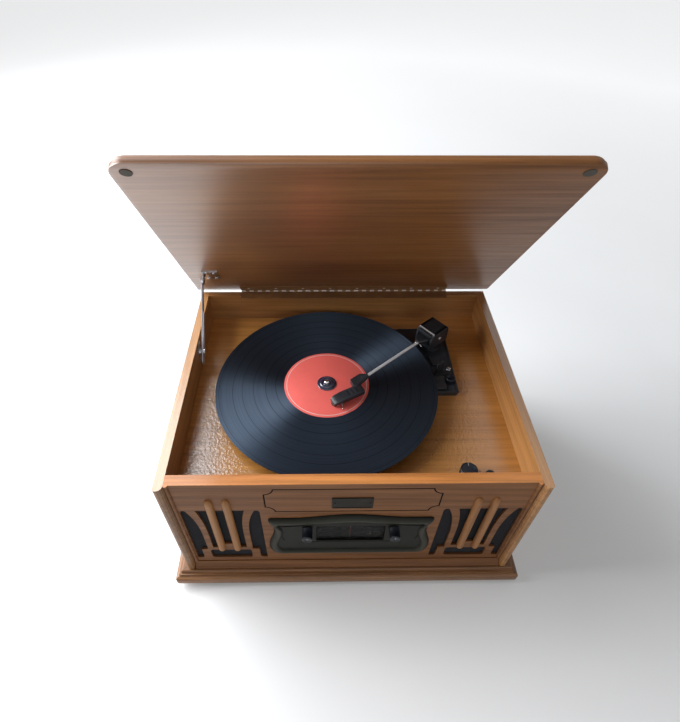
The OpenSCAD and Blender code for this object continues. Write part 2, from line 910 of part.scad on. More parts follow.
module dial_pointer() {
    z0 = window_z + 3;
    y0 = bezel_back + gap;
    color("#c8402c") {
        block([-0.5, y0, z0], [0.5, y0 + 0.6, rail_zc - 2]);
        block([-0.5, y0, rail_zc - 3], [0.5, rail_yc, rail_zc - 2]);
        difference() {
            block([-6, rail_yc - 3, rail_zc - 3], [6, rail_yc + 3, rail_zc + 3]);
            rod_x(rail_yc, rail_zc, rail_r + run, -7, 7);
        }
    }
}

// A fluted tuner knob with its shaft, pointing to the front
module tuner_knob(x, shaft_end) {
    y1 = field_y - gap;
    y0 = y1 - knob_l;
    color(BLACK) {
        difference() {
            union() {
                rod_y(x, knob_z, knob_r, y0 + 1, y1);
                rod_y(x, knob_z, knob_r - 1, y0, y1);
            }
            for (a = [0:20:359]) {
                rod_y(x + (knob_r + 0.3) * cos(a), knob_z + (knob_r + 0.3) * sin(a),
                    0.6, y0 - 1, y1 - 4);
            }
        }
        rod_y(x, knob_z, shaft_r, y0 + 3, shaft_end);
    }
}

module volume_knob() {
    tuner_knob(-knob_x, board_y - 2);
}

module tuning_knob() {
    tuner_knob(knob_x, board_y + board_t + 7);
    color(BLACK) rod_y(knob_x, knob_z, cord_drum_r, drum_y, drum_y + 4);
}

// ---- Deck controls ----

module deck_knob() {
    color(BLACK) translate([deck_knob_x, deck_knob_y, deck_z + gap]) {
        difference() {
            union() {
                cylinder(h = deck_knob_h - 1, r = deck_knob_r);
                cylinder(h = deck_knob_h, r = deck_knob_r - 1);
            }
            for (a = [0:15:359]) {
                rotate([0, 0, a]) translate([deck_knob_r + 0.4, 0, 2]) cylinder(h = 30, r = 0.8);
            }
        }
        translate([0, 0, -deck_t - 6]) cylinder(h = deck_t + 8, r = shaft_r);
    }
}

module function_switch() {
    color(STEEL) translate([deck_knob_x, deck_knob_y, 0]) difference() {
        union() {
            translate([-12, -12, deck_under - 11]) cube([24, 24, 11]);
            translate([0, 0, deck_under - 1]) cylinder(h = deck_t + 1, r = switch_bush_r);
        }
        translate([0, 0, deck_under - 8]) cylinder(h = deck_t + 10, r = shaft_r + run);
    }
}

module headphone_socket() {
    color(BLACK) translate([socket_x, socket_y, 0]) difference() {
        union() {
            translate([0, 0, deck_z]) cylinder(h = 1.2, r = socket_r + 2.8);
            translate([0, 0, deck_under]) cylinder(h = deck_t + 0.5, r = socket_r + 2);
            translate([-7, -7, deck_under - 12]) cube([14, 14, 12]);
        }
        translate([0, 0, deck_z + 1.2 - socket_l]) cylinder(h = socket_l + 1, r = socket_r);
    }
}

// ---- Record deck ----

// Outline of a belt round a wheel at the origin and a smaller one along X
module belt_outline(big, small, reach) {
    a = acos((big - small) / reach);
    polygon(concat(
        [for (i = [0:48]) let (t = a + (360 - 2 * a) * i / 48) big * [cos(t), sin(t)]],
        [for (i = [0:16]) let (t = -a + 2 * a * i / 16) [reach, 0] + small * [cos(t), sin(t)]]
    ));
}

// Outline of the deck's moulded base, drawn in by g
module base_outline(g) {
    translate([spindle_x, 0]) circle(base_r - g);
    round_rect([spindle_x + 80 + g, plate_front + g], [plate_right - g, plate_back - g], base_corner_r);
}

// The round tub for the drive rim, with the motor's lobe, drawn in by g
module tub_outline(g) {
    translate([spindle_x, 0]) rotate(motor_dir) belt_outline(tub_r - g, lobe_r - g, motor_reach);
}

module mech_base() {
    color(BLACK) difference() {
        union() {
            translate([0, 0, deck_z]) linear_extrude(base_h) base_outline(0);
            translate([0, 0, tub_floor_z - base_skin])
                linear_extrude(base_z - tub_floor_z) tub_outline(-base_skin);
        }
        difference() {
            translate([0, 0, deck_z - 1]) linear_extrude(base_h + 1 - base_skin)
                base_outline(base_skin);
            linear_extrude(rim_z) tub_outline(-base_skin);
            for (p = base_screws) {
                translate([p[0], p[1], 0]) cylinder(h = rim_z, r = screw_head_r + 1);
            }
            translate([speed_x, speed_y, 0]) cylinder(h = rim_z, r = 5);
            translate([pivot_x, pivot_back, 0]) cylinder(h = rim_z, r = 12);
        }
        translate([0, 0, tub_floor_z]) linear_extrude(rim_z) tub_outline(0);
        translate([spindle_x, 0, 0]) cylinder(h = rim_z, r = bearing_r + run);
        translate([motor_x, motor_y, 0]) cylinder(h = rim_z, r = 2.5);
        translate([speed_x, speed_y, 0]) cylinder(h = rim_z, r = 2 + run);
        block([stop_x - 1.7, stop_y - 6, 0], [stop_x + 1.7, stop_y + 6, rim_z]);
        for (p = base_screws) {
            translate([p[0], p[1], 0]) cylinder(h = rim_z, r = screw_r + run);
        }
    }
}

module main_bearing() {
    color(STEEL) translate([spindle_x, 0, 0]) difference() {
        union() {
            translate([0, 0, bearing_z]) cylinder(h = tub_floor_z - bearing_z + 8, r = bearing_r);
            translate([0, 0, tub_floor_z]) cylinder(h = 2, r = 12);
        }
        translate([0, 0, bearing_z + 2]) cylinder(h = rim_z, r = spindle_shaft_r + run);
    }
}

module platter() {
    top = mat_z;
    color("#3a3a3c") translate([spindle_x, 0, 0]) {
        translate([0, 0, top - platter_t]) cylinder(h = platter_t, r = platter_r);
        difference() {
            translate([0, 0, base_z + 1.5]) cylinder(h = top - base_z - 2, r = platter_r);
            translate([0, 0, base_z]) cylinder(h = top - platter_t - base_z, r = platter_r - 4);
        }
        difference() {
            translate([0, 0, tub_floor_z + 2.5])
                cylinder(h = top - tub_floor_z - 4, r = drive_rim_r);
            translate([0, 0, tub_floor_z])
                cylinder(h = top - platter_t - tub_floor_z, r = drive_rim_r - 4);
        }
        translate([0, 0, tub_floor_z + 8 + gap]) cylinder(h = top - tub_floor_z - 10, r = 9);
        translate([0, 0, bearing_z + 2 + gap])
            cylinder(h = top - bearing_z - 4, r = spindle_shaft_r);
        translate([0, 0, top - 1])
            cylinder(h = record_z + spindle_up - top - spindle_r + 1, r = spindle_r);
        translate([0, 0, record_z + spindle_up - spindle_r]) sphere(spindle_r);
    }
}

// A flat ring about the record spindle
module ring(z, h, r, hole) {
    translate([spindle_x, 0, z]) difference() {
        cylinder(h = h, r = r);
        translate([0, 0, -1]) cylinder(h = h + 2, r = hole);
    }
}

module platter_mat() {
    color(BLACK) ring(mat_z, mat_t, platter_r - 2, spindle_r + run);
}

module record() {
    color("#121316") ring(record_z - record_t, record_t, record_r, spindle_r + run, $fn = 128);
}

module record_label() {
    color("#e0503c") ring(record_z, label_t, label_d / 2, spindle_r + run);
}

module hub_cap() {
    color("#39406a") translate([spindle_x, 0, record_z + label_t]) difference() {
        union() {
            cylinder(h = 1, r = hub_cap_r);
            translate([0, 0, 1]) cylinder(h = hub_cap_h - 1, r1 = hub_cap_r, r2 = hub_cap_r - 5);
        }
        translate([0, 0, -1]) cylinder(h = hub_cap_h + 2, r = spindle_r + run);
    }
}

module turntable_motor() {
    top = tub_floor_z - base_skin;
    color(STEEL) translate([motor_x, motor_y, 0]) difference() {
        union() {
            translate([0, 0, top - motor_h]) cylinder(h = motor_h, r = motor_r);
            translate([0, 0, top - motor_h - 2]) cylinder(h = 3, r = 5);
        }
        translate([0, 0, top - motor_h + 4]) cylinder(h = motor_h, r = 1 + run);
    }
}

module motor_pulley() {
    color("#c9a24a") translate([motor_x, motor_y, 0]) {
        translate([0, 0, belt_z - 1]) cylinder(h = belt_h + 2, r = pulley_r);
        translate([0, 0, belt_z - 2.2]) cylinder(h = 1.5, r = pulley_r + 1.4);
        translate([0, 0, belt_z + belt_h + 0.7]) cylinder(h = 1.5, r = pulley_r + 1.4);
        translate([0, 0, tub_floor_z - motor_h + 6]) cylinder(h = motor_h, r = 1);
    }
}

module drive_belt() {
    color(BLACK) translate([spindle_x, 0, belt_z]) rotate([0, 0, motor_dir])
        linear_extrude(belt_h) difference() {
            belt_outline(drive_rim_r + gap + belt_t, pulley_r + gap + belt_t, motor_reach);
            belt_outline(drive_rim_r + gap, pulley_r + gap, motor_reach);
        }
}

// ---- Tonearm ----

module arm_pillar() {
    color(BLACK) translate([pivot_x, pivot_back, 0]) {
        translate([0, 0, base_z]) cylinder(h = 3, r = 15);
        translate([0, 0, base_z]) cylinder(h = yoke_z - gap - base_z, r = 11);
        translate([0, 0, base_z]) cylinder(h = yoke_z + yoke_floor - 2 - base_z, r = pillar_pin_r);
    }
}

module arm_yoke() {
    l = yoke_l / 2;
    w = yoke_w / 2;
    color(BLACK) along_arm() difference() {
        translate([-l, -w, yoke_z]) cube([yoke_l, yoke_w, yoke_top - yoke_z]);
        block(
            [-neck_l / 2 + 4, -w + cheek_t, yoke_z + yoke_floor],
            [l + 1, w - cheek_t, yoke_top - 3]
        );
        translate([0, 0, yoke_z - 1]) cylinder(h = yoke_floor - 0.5, r = pillar_pin_r + run);
        translate([0, w + 1, arm_z]) rotate([90, 0, 0]) cylinder(h = yoke_w + 2, r = lift_pin_r + run);
    }
    color(BLACK) along_arm() block(
        [l - yoke_front_t, -w + cheek_t / 2, arm_z + neck_h / 2 + 1.6],
        [l, w - cheek_t / 2, yoke_top - 1.5]
    );
}

// Plan of the neck that holds the tube in the pivot housing
module neck_plan() {
    w = yoke_w / 2 - cheek_t - 0.5;
    polygon([
        [-neck_l / 2 + 5, -w], [yoke_l / 2 - 2, -w], [neck_l, -3.4],
        [neck_l, 3.4], [yoke_l / 2 - 2, w], [-neck_l / 2 + 5, w]
    ]);
}

module arm_tube() {
    w = yoke_w / 2;
    color("#d9dadb") along_arm() {
        translate([0, 0, arm_z - neck_h / 2]) linear_extrude(neck_h) neck_plan();
        translate([0, w - 0.5, arm_z]) rotate([90, 0, 0]) cylinder(h = yoke_w - 1, r = lift_pin_r);
        translate([neck_l - 4, 0, arm_z]) rotate([0, 90, 0])
            cylinder(h = tube_reach - neck_l + 4, r = tube_r);
    }
}

// Plan of the angled headshell: a short link and the cartridge's carrier
head_angle = -11.3;
module head_link() {
    translate([tube_reach - 2, 0]) polygon([
        [0, -3], [6, -7.5], [22, -8], [26, 2], [24, 6], [10, 4], [0, 3]
    ]);
}

module head_carrier() {
    translate([tube_reach + 16, 12]) rotate([0, 0, head_angle])
        round_rect([0, -7.5], [46, 7.5], 2);
}

module headshell() {
    color(BLACK) along_arm() difference() {
        union() {
            translate([0, 0, arm_z - 4]) linear_extrude(head_t) head_link();
            translate([0, 0, arm_z - 5]) linear_extrude(head_t) head_carrier();
            translate([tube_reach - 4, 0, arm_z]) rotate([0, 90, 0]) cylinder(h = 10, r = tube_r + 1.5);
            translate([tube_reach + 52, 10, arm_z - 4.2]) rotate([-90, 0, 4]) cylinder(h = 9, r = 0.8);
        }
        translate([tube_reach - 5, 0, arm_z]) rotate([0, 90, 0]) cylinder(h = 5, r = tube_r);
    }
}

module cartridge() {
    top = arm_z - 5;
    tip = record_z + label_t + stylus_gap;
    color("#c9c4b4") along_arm() translate([tube_reach + 54, 4.5, 0]) rotate([0, 0, head_angle]) {
        block([-10, -5, top - 2.4], [7, 5, top]);
        translate([2, 0, tip]) cylinder(h = top - 1 - tip, r1 = 0.2, r2 = 1);
    }
}

module arm_rest() {
    top = arm_z - tube_r - gap;
    color(BLACK) along_arm() rotate([0, 0, rest_swing]) translate([rest_reach, 0, 0]) {
        block([-5, -4, base_z], [2.5, 8, base_z + 2]);
        block([-2, -2, base_z], [2, 6, top]);
        block([-2, tube_r + 1, base_z], [2, 6, top + 2 * tube_r]);
    }
}

module speed_knob() {
    color(BLACK) translate([speed_x, speed_y, base_z]) {
        translate([0, 0, gap]) cylinder(h = 8, r = 6.5);
        translate([0, 0, -base_h]) cylinder(h = base_h + 2, r = 2);
        translate([-6.3, -0.8, 8]) cube([7, 1.6, 1.2]);
    }
}

module stop_switch() {
    color("#55575a") translate([stop_x, stop_y, base_z]) {
        translate([-7.7, -12, gap]) cube([15.4, 24, 3.6]);
        translate([-1.5, -3, -base_h]) cube([3, 6, base_h + 1]);
        for (y = [-3:2:3]) {
            translate([-5, y - 0.4, 3]) cube([10, 0.8, 1.6]);
        }
    }
}

// ---- Lid, stay and hinge ----

module lid() {
    x = half_w + lid_side_out;
    y0 = -half_d - lid_front_out;
    y1 = half_d;
    r = lid_edge_r;
    color(OAK) opened() intersection() {
        translate([0, 0, lid_z]) linear_extrude(lid_t) union() {
            round_rect([-x, y0], [x, 0], lid_corner_r);
            round_rect([-x, -50], [x, y1], 3);
        }
        lengthwise(-x, x) union() {
            translate([y0, lid_z]) square([y1 - y0, lid_t - r]);
            translate([y0 + r, lid_z]) square([y1 - y0 - r, lid_t]);
            translate([y0 + r, lid_z + lid_t - r]) circle(r);
        }
        upright(y0, y1) union() {
            translate([-x, lid_z]) square([2 * x, lid_t - r]);
            translate([-x + r, lid_z]) square([2 * (x - r), lid_t]);
            for (s = [-x + r, x - r]) {
                translate([s, lid_z + lid_t - r]) circle(r);
            }
        }
    }
}

module lid_pads() {
    color(BLACK) opened() both_sides() translate([
        half_w - pad_inset,
        hinge_y - pad_reach,
        rim_z + gap
    ]) cylinder(h = lid_z - rim_z - gap, r = pad_r);
}

// Knuckles of one leaf: every second one, starting at the first or the second
module knuckles(first) {
    count = floor(hinge_len / knuckle_len);
    start = -count * knuckle_len / 2;
    for (i = [first:2:count - 1]) {
        x = start + i * knuckle_len;
        knuckle(x + gap / 2, x + knuckle_len - gap / 2);
    }
}

// One knuckle, with the strip that joins it to its leaf
module knuckle(x0, x1) {
    rod_x(hinge_y, hinge_z, knuckle_r, x0, x1);
}

// The strips of a leaf that reach to its own knuckles
module tongues(first, z0) {
    count = floor(hinge_len / knuckle_len);
    start = -count * knuckle_len / 2;
    for (i = [first:2:count - 1]) {
        x = start + i * knuckle_len;
        block([x + gap / 2, half_d - 1, z0], [x + knuckle_len - gap / 2, hinge_y, z0 + leaf_t]);
    }
}

module hinge_leaf_cabinet() {
    z0 = rim_z - leaf_t;
    color("#c8a860") {
        block([-hinge_len / 2, half_d - leaf_w, z0], [hinge_len / 2, half_d, z0 + leaf_t]);
        tongues(0, z0);
        knuckles(0);
        rod_x(hinge_y, hinge_z, hinge_pin_r, -hinge_len / 2, hinge_len / 2);
    }
}

module hinge_leaf_lid() {
    z0 = lid_z - leaf_t;
    color("#c8a860") opened() difference() {
        union() {
            block([-hinge_len / 2, half_d - leaf_w, z0], [hinge_len / 2, half_d, z0 + leaf_t]);
            tongues(1, z0);
            knuckles(1);
        }
        rod_x(hinge_y, hinge_z, hinge_pin_r + run, -hinge_len, hinge_len);
    }
}

module stay_wall_plate() {
    color(STEEL) {
        block([-inner_x, stud_y - 9, stud_z - 12], [-inner_x + stay_t, stud_y + 9, stud_z + 12]);
        rod_x(stud_y, stud_z, 5, -inner_x, stay_x - 1.2 - gap);
    }
}

module stay_bracket() {
    y = stay_closed[0];
    z = stay_closed[1];
    ear_x = stay_x + stay_t + gap;
    color(STEEL) opened() {
        block([ear_x, y - 14, lid_z - stay_t], [ear_x + 22, y + 16, lid_z]);
        block([ear_x, y - 6, z - 5], [ear_x + stay_t, y + 6, lid_z]);
        rod_x(y, z, stay_pin_r, stay_x - gap - 0.5, ear_x + 0.5);
        rod_x(y, z, stay_pin_r + 1.4, stay_x - gap - 1, stay_x - gap);
    }
}

// The stay arm drawn along X from its pivot, as a flat outline
module stay_outline() {
    slot_r = stay_slot_pin_r + 0.2;
    difference() {
        union() {
            circle(stay_w / 2);
            translate([0, -stay_w / 2]) square([stay_len + stay_tail - stay_w / 2, stay_w]);
            translate([stay_len + stay_tail - stay_w / 2, 0]) circle(stay_w / 2);
        }
        circle(stay_pin_r + run);
        translate([stay_short, -slot_r]) square([stay_len - stay_short, 2 * slot_r]);
        translate([stay_short, 0]) circle(slot_r);
        translate([stay_len, 0]) circle(slot_r);
    }
}

module stay_arm() {
    color(STEEL) translate([stay_x, stay_pivot[0], stay_pivot[1]]) rotate([stay_angle, 0, 0])
        rotate([90, 0, 90]) linear_extrude(stay_t) stay_outline();
}

module stay_slider() {
    color(STEEL) {
        rod_x(stud_y, stud_z, stay_slot_pin_r, stay_x - 0.8, stay_x + stay_t + 0.8);
        rod_x(stud_y, stud_z, 4, stay_x - 1.2, stay_x - gap);
        rod_x(stud_y, stud_z, stay_w / 2, stay_x + stay_t + gap, stay_x + stay_t + gap + 2);
    }
}

// ---- Electrics ----

module main_board() {
    x0 = amp_x - amp_w / 2;
    y0 = amp_y - amp_d / 2;
    z0 = floor_z + amp_up;
    z1 = z0 + board_t;
    color("#2f5a35") block([x0, y0, z0], [x0 + amp_w, y0 + amp_d, z1]);
    color(STEEL) for (x = [x0 + 6, x0 + amp_w - 6], y = [y0 + 6, y0 + amp_d - 6]) {
        translate([x, y, floor_z]) cylinder(h = amp_up, r = 3);
    }
    color("#2b2f36") {
        for (i = [0:2]) {
            translate([x0 + 20 + 20 * i, y0 + amp_d - 30, z1]) cylinder(h = 25, r = 8);
        }
        block([x0 + amp_w - 70, y0 + 20, z1], [x0 + amp_w - 15, y0 + 28, z1 + sink_h]);
        for (i = [0:5]) {
            translate([x0 + amp_w - 69 + i * 9, y0 + 28, z1]) cube([2, 20, sink_h]);
        }
        block([x0 + 20, y0 + 20, z1], [x0 + 60, y0 + 40, z1 + 6.4]);
    }
}

module transformer() {
    translate([core_x, core_y, floor_z]) {
        color("#5c5f63") {
            block([-core_w / 2 - 5, -2, 0], [core_w / 2 + 5, 2, 4]);
            difference() {
                block([-core_w / 2, -core_d / 2, 0], [core_w / 2, core_d / 2, core_h]);
                both_sides() block(
                    [core_leg, -core_d / 2 - 1, core_leg_z],
                    [coil_w / 2, core_d / 2 + 1, core_h - core_leg_z]
                );
            }
        }
        color("#b5572c") difference() {
            block(
                [-coil_w / 2, -core_d / 2 - coil_out, core_leg_z],
                [coil_w / 2, core_d / 2 + coil_out, core_h - core_leg_z]
            );
            block(
                [-core_leg, -core_d / 2 - coil_out - 1, core_leg_z - 1],
                [core_leg, core_d / 2 + coil_out + 1, core_h - core_leg_z + 1]
            );
        }
    }
}

module mains_inlet() {
    color(BLACK) difference() {
        union() {
            block(
                [inlet_x - inlet_w / 2, rear_y - 14, inlet_z - inlet_h / 2],
                [inlet_x + inlet_w / 2, rear_y + rear_t + 1, inlet_z + inlet_h / 2]
            );
            block(
                [inlet_x - inlet_w / 2 - 3, rear_y + rear_t, inlet_z - inlet_h / 2 - 3],
                [inlet_x + inlet_w / 2 + 3, rear_y + rear_t + 1.5, inlet_z + inlet_h / 2 + 3]
            );
        }
        upright(rear_y - 8, half_d + 1) translate([inlet_x, inlet_z]) {
            translate([-4, 0]) circle(4.6);
            translate([4, 0]) circle(4.6);
        }
    }
    color(STEEL) for (x = [-4, 4]) {
        rod_y(inlet_x + x, inlet_z, 1.2, rear_y - 9, rear_y + rear_t - 1);
    }
}

module audio_sockets() {
    color("#d8d8d2") {
        block(
            [jack_x - 10, rear_y - 10, jack_z - 8],
            [jack_x + 3 * jack_pitch + 10, rear_y, jack_z + 8]
        );
        for (i = [0:3]) {
            difference() {
                rod_y(jack_x + i * jack_pitch, jack_z, jack_r, rear_y - 1, half_d + 4);
                rod_y(jack_x + i * jack_pitch, jack_z, 1.6, rear_y + 1, half_d + 5);
            }
        }
    }
}

plinth();
rubber_feet();
bottom_board();
side_panel_left();
side_panel_right();
front_panel();
base_moulding();
back_rail();
rear_panel();
wood_screws();
inner_cleats();
deck_board();
speaker_baffles();
grille_cloths();
grille_spindles();
speaker_frames();
speaker_cones();
nameplate();
tuner_bezel();
dial_scale();
dial_window();
stereo_led();
tuner_board();
tuning_drum();
dial_pointer();
volume_knob();
tuning_knob();
deck_knob();
function_switch();
headphone_socket();
mech_base();
main_bearing();
platter();
platter_mat();
record();
record_label();
hub_cap();
turntable_motor();
motor_pulley();
drive_belt();
arm_pillar();
arm_yoke();
arm_tube();
headshell();
cartridge();
arm_rest();
speed_knob();
stop_switch();
stay_wall_plate();
stay_bracket();
stay_arm();
stay_slider();
lid();
lid_pads();
hinge_leaf_cabinet();
hinge_leaf_lid();
main_board();
transformer();
mains_inlet();
audio_sockets();
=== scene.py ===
import math

import bmesh
import bpy
from mathutils import Matrix, Vector

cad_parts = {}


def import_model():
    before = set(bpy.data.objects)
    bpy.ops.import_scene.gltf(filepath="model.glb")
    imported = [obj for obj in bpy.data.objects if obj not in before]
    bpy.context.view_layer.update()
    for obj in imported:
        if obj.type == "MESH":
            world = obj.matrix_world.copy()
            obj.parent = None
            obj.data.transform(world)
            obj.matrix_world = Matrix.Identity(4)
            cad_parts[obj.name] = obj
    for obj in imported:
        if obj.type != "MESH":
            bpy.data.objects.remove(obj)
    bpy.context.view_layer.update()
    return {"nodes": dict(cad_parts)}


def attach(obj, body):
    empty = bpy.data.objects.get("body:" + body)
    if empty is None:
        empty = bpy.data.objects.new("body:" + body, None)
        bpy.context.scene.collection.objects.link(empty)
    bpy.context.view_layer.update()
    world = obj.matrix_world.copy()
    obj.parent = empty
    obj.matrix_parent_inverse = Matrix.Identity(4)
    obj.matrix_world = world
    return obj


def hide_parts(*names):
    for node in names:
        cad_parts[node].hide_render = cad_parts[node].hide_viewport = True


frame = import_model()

NODES = frame["nodes"]
SCENE = bpy.context.scene
MM = 0.001

# ---- places, mm and degrees
OUTER_X, INNER_X = 220, 209  # faces of the side boards
FRONT_Y, REAR_Y = -169.0, 169  # faces of the cabinet
WALL_Z, RIM_Z, DECK_Z = 30, 242, 196
HINGE = Vector((0, 171.3, 242.15))
LID_OPEN, LID_Z = 56.1, 243.1  # the lid's angle, and its underside when shut
SPINDLE = Vector((-28, 0, 0))
RECORD_Z = 216.0  # the record's upper face
PIVOT = Vector((129, 89.5, 0))
ARM_Z, ARM_DIR = 226.0, 219.6
HEAD_TURN = math.radians(-11.3)  # the pickup head's offset from the arm

OPENED = (Matrix.Translation(HINGE) @ Matrix.Rotation(math.radians(-LID_OPEN), 4, "X")
          @ Matrix.Translation(-HINGE))
ALONG_ARM = Matrix.Translation(PIVOT) @ Matrix.Rotation(math.radians(ARM_DIR), 4, "Z")


# ---- materials
class Shader:
    """A Principled material with a few short ways to add nodes."""

    def __init__(self, name, rough=0.5, metal=0.0, color=(0.5, 0.5, 0.5), **sockets):
        self.mat = bpy.data.materials.new(name)
        self.mat.use_nodes = True
        self.tree = self.mat.node_tree
        self.bsdf = self.tree.nodes["Principled BSDF"]
        self.set("Base Color", (*color, 1))
        self.set("Roughness", rough)
        self.set("Metallic", metal)
        for key, value in sockets.items():
            self.set(key.replace("_", " "), value)
        self._coord = None

    def set(self, socket, value):
        self.bsdf.inputs[socket].default_value = value

    def node(self, kind, **props):
        n = self.tree.nodes.new(kind)
        for k, v in props.items():
            setattr(n, k, v)
        return n

    def link(self, a, b):
        self.tree.links.new(a, b)

    def coord(self):
        if self._coord is None:
            self._coord = self.node("ShaderNodeTexCoord").outputs["Object"]
        return self._coord

    def mapped(self, scale, offset=(0, 0, 0), vector=None, rotate=(0, 0, 0)):
        n = self.node("ShaderNodeMapping")
        n.inputs["Scale"].default_value = scale
        n.inputs["Location"].default_value = offset
        n.inputs["Rotation"].default_value = rotate
        self.link(vector or self.coord(), n.inputs["Vector"])
        return n.outputs[0]

    def noise(self, vector, scale=1.0, detail=4.0, rough=0.55, distort=0.0):
        n = self.node("ShaderNodeTexNoise")
        n.inputs["Scale"].default_value = scale
        n.inputs["Detail"].default_value = detail
        n.inputs["Roughness"].default_value = rough
        n.inputs["Distortion"].default_value = distort
        self.link(vector, n.inputs["Vector"])
        return n.outputs["Fac"]

    def ramp(self, fac, stops):
        n = self.node("ShaderNodeValToRGB")
        e = n.color_ramp.elements
        while len(e) < len(stops):
            e.new(0.5)
        for k, (p, c) in zip(e, stops):
            k.position = p
            k.color = (*c, 1) if len(c) == 3 else c
        self.link(fac, n.inputs[0])
        return n.outputs["Color"]

    def math(self, op, a, b=0.0):
        n = self.node("ShaderNodeMath", operation=op)
        for i, v in enumerate((a, b)):
            if isinstance(v, (int, float)):
                n.inputs[i].default_value = v
            else:
                self.link(v, n.inputs[i])
        return n.outputs[0]

    def mix(self, fac, a, b, mode="MIX"):
        n = self.node("ShaderNodeMix", data_type="RGBA", blend_type=mode)
        for sock, v in ((n.inputs[0], fac), (n.inputs[6], a), (n.inputs[7], b)):
            if isinstance(v, (int, float)):
                sock.default_value = v
            elif isinstance(v, tuple):
                sock.default_value = (*v, 1) if len(v) == 3 else v
            else:
                self.link(v, sock)
        return n.outputs[2]

    def span(self, fac, lo, hi, a=0.0, b=1.0):
        n = self.node("ShaderNodeMapRange")
        for i, v in enumerate((lo, hi, a, b)):
            n.inputs[i + 1].default_value = v
        self.link(fac, n.inputs[0])
        return n.outputs[0]

    def color(self, socket):
        self.link(socket, self.bsdf.inputs["Base Color"])

    def rough(self, socket):
        self.link(socket, self.bsdf.inputs["Roughness"])

    def relief(self, height, strength=0.3, distance=0.0004, bevel=0.0):
        """Bump, over edges that the light sees as slightly rounded."""
        normal = None
        if bevel:
            b = self.node("ShaderNodeBevel", samples=4)
            b.inputs["Radius"].default_value = bevel
            normal = b.outputs[0]
        if height is not None:
            n = self.node("ShaderNodeBump")
            n.inputs["Strength"].default_value = strength
            n.inputs["Distance"].default_value = distance
            self.link(height, n.inputs["Height"])
            if normal:
                self.link(normal, n.inputs["Normal"])
            normal = n.outputs[0]
        self.link(normal, self.bsdf.inputs["Normal"])

    def xyz(self, vector=None):
        n = self.node("ShaderNodeSeparateXYZ")
        self.link(vector or self.coord(), n.inputs[0])
        return n.outputs


def oak(name, dark, mid, light, axis="X", offset=(0, 0, 0), rough=0.38, coat=0.25, ior=1.5,
        figure=0.3, bevel=0.0008, tilt=None, spec=0.35, speckle=0.0, haze=0.2, dulled=1.0, painted_rim_light_and_coat=None,
        painted_shade=None):
    """Lacquered oak veneer with its grain along one axis.

    Three arguments shade by place, to match the photo: painted_rim_light_and_coat is a painted
    highlight, a paler tint on the top edge, and the coat there; painted_shade is painted shade on
    the outer faces and left front post; dulled is the coat left on the lid's right.
    """
    s = Shader(name, rough=rough, Coat_Weight=coat, Coat_Roughness=haze)
    s.set("Coat IOR", ior)
    s.set("Specular IOR Level", spec)
    base = s.coord()
    if tilt:
        base = s.mapped((1, 1, 1), rotate=tilt)

    def stretched(along, across):
        return tuple(along if a == axis else across for a in "XYZ")

    slow = s.noise(s.mapped(stretched(2.2, 11.0), offset, base), detail=4, rough=0.5)
    streak = s.noise(s.mapped(stretched(5.0, 190.0), offset, base), detail=6, rough=0.6,
                     distort=0.2)
    fine = s.noise(s.mapped(stretched(24.0, 820.0), offset, base), detail=3, rough=0.6)
    pores = s.noise(s.mapped(stretched(75.0, 2600.0), offset, base), detail=2, rough=0.7)
    wave = s.node("ShaderNodeTexWave", wave_type="BANDS", bands_direction="DIAGONAL",
                  wave_profile="SIN")
    for key, value in (("Scale", 1.0), ("Distortion", 9.0), ("Detail", 3.0), ("Detail Scale", 0.55)):
        wave.inputs[key].default_value = value
    s.link(s.mapped(stretched(2.2, 34.0), offset, base), wave.inputs["Vector"])
    figured = s.math("POWER", wave.outputs["Fac"], 2.6)
    tone = s.math("ADD", s.math("MULTIPLY", slow, 0.5), s.math("MULTIPLY", streak, 0.5))
    col = s.ramp(tone, [(0.30, dark), (0.50, mid), (0.72, light)])
    col = s.mix(s.math("MULTIPLY", figured, figure * 0.5), col, tuple(0.45 * c for c in dark))
    line = s.span(fine, 0.50, 0.72)
    col = s.mix(s.math("MULTIPLY", line, 0.22), col, tuple(0.6 * c for c in dark))
    pit = s.span(pores, 0.60, 0.70)
    col = s.mix(s.math("MULTIPLY", pit, 0.25), col, tuple(0.4 * c for c in dark))
    # painted shade: the outer faces and the left front post, below the rim, are darkened in the colour
    if painted_shade:
        x, y, z = s.xyz()
        outside = s.span(s.math("ABSOLUTE", x), 0.2188, 0.2196)
        left_nose = s.math("MULTIPLY", s.span(y, -0.1685, -0.1700), s.span(x, 0.01, -0.01))
        below_rim = s.span(z, 0.2419, 0.2410)
        painted_shade_mask = s.math("MULTIPLY", s.math("MAXIMUM", outside, left_nose), below_rim)
        col = s.mix(painted_shade_mask, col, s.mix(1.0, col, painted_shade, "MULTIPLY"))
    # painted highlight: the top edges are tinted paler in the colour; the coat weight there is set apart too
    if painted_rim_light_and_coat:
        top = s.span(s.xyz()[2], 0.2410, 0.2419)
        col = s.mix(top, col, s.mix(1.0, col, painted_rim_light_and_coat[0], "MULTIPLY"))
        s.link(s.span(top, 0, 1, coat, painted_rim_light_and_coat[1]), s.bsdf.inputs["Coat Weight"])
    s.color(col)
    s.rough(s.span(streak, 0.3, 0.7, rough + 0.07, rough - 0.05))
    s.relief(s.math("SUBTRACT", s.math("MULTIPLY", streak, 0.35), pit), 0.2, 0.0003, bevel)
    if dulled < 1:
        across = s.span(s.xyz()[0], -0.10, 0.12, coat, coat * dulled)
        outside = s.span(s.xyz(base)[2], 0.2788, 0.2800, 1.0, 0.2)
        s.link(s.math("MULTIPLY", across, outside), s.bsdf.inputs["Coat Weight"])
    if speckle:
        peel = s.node("ShaderNodeBump")
        peel.inputs["Strength"].default_value = speckle
        peel.inputs["Distance"].default_value = 0.0006
        s.link(s.noise(base, 330, 2, 0.5), peel.inputs["Height"])
        s.link(peel.outputs[0], s.bsdf.inputs["Coat Normal"])
    return s.mat


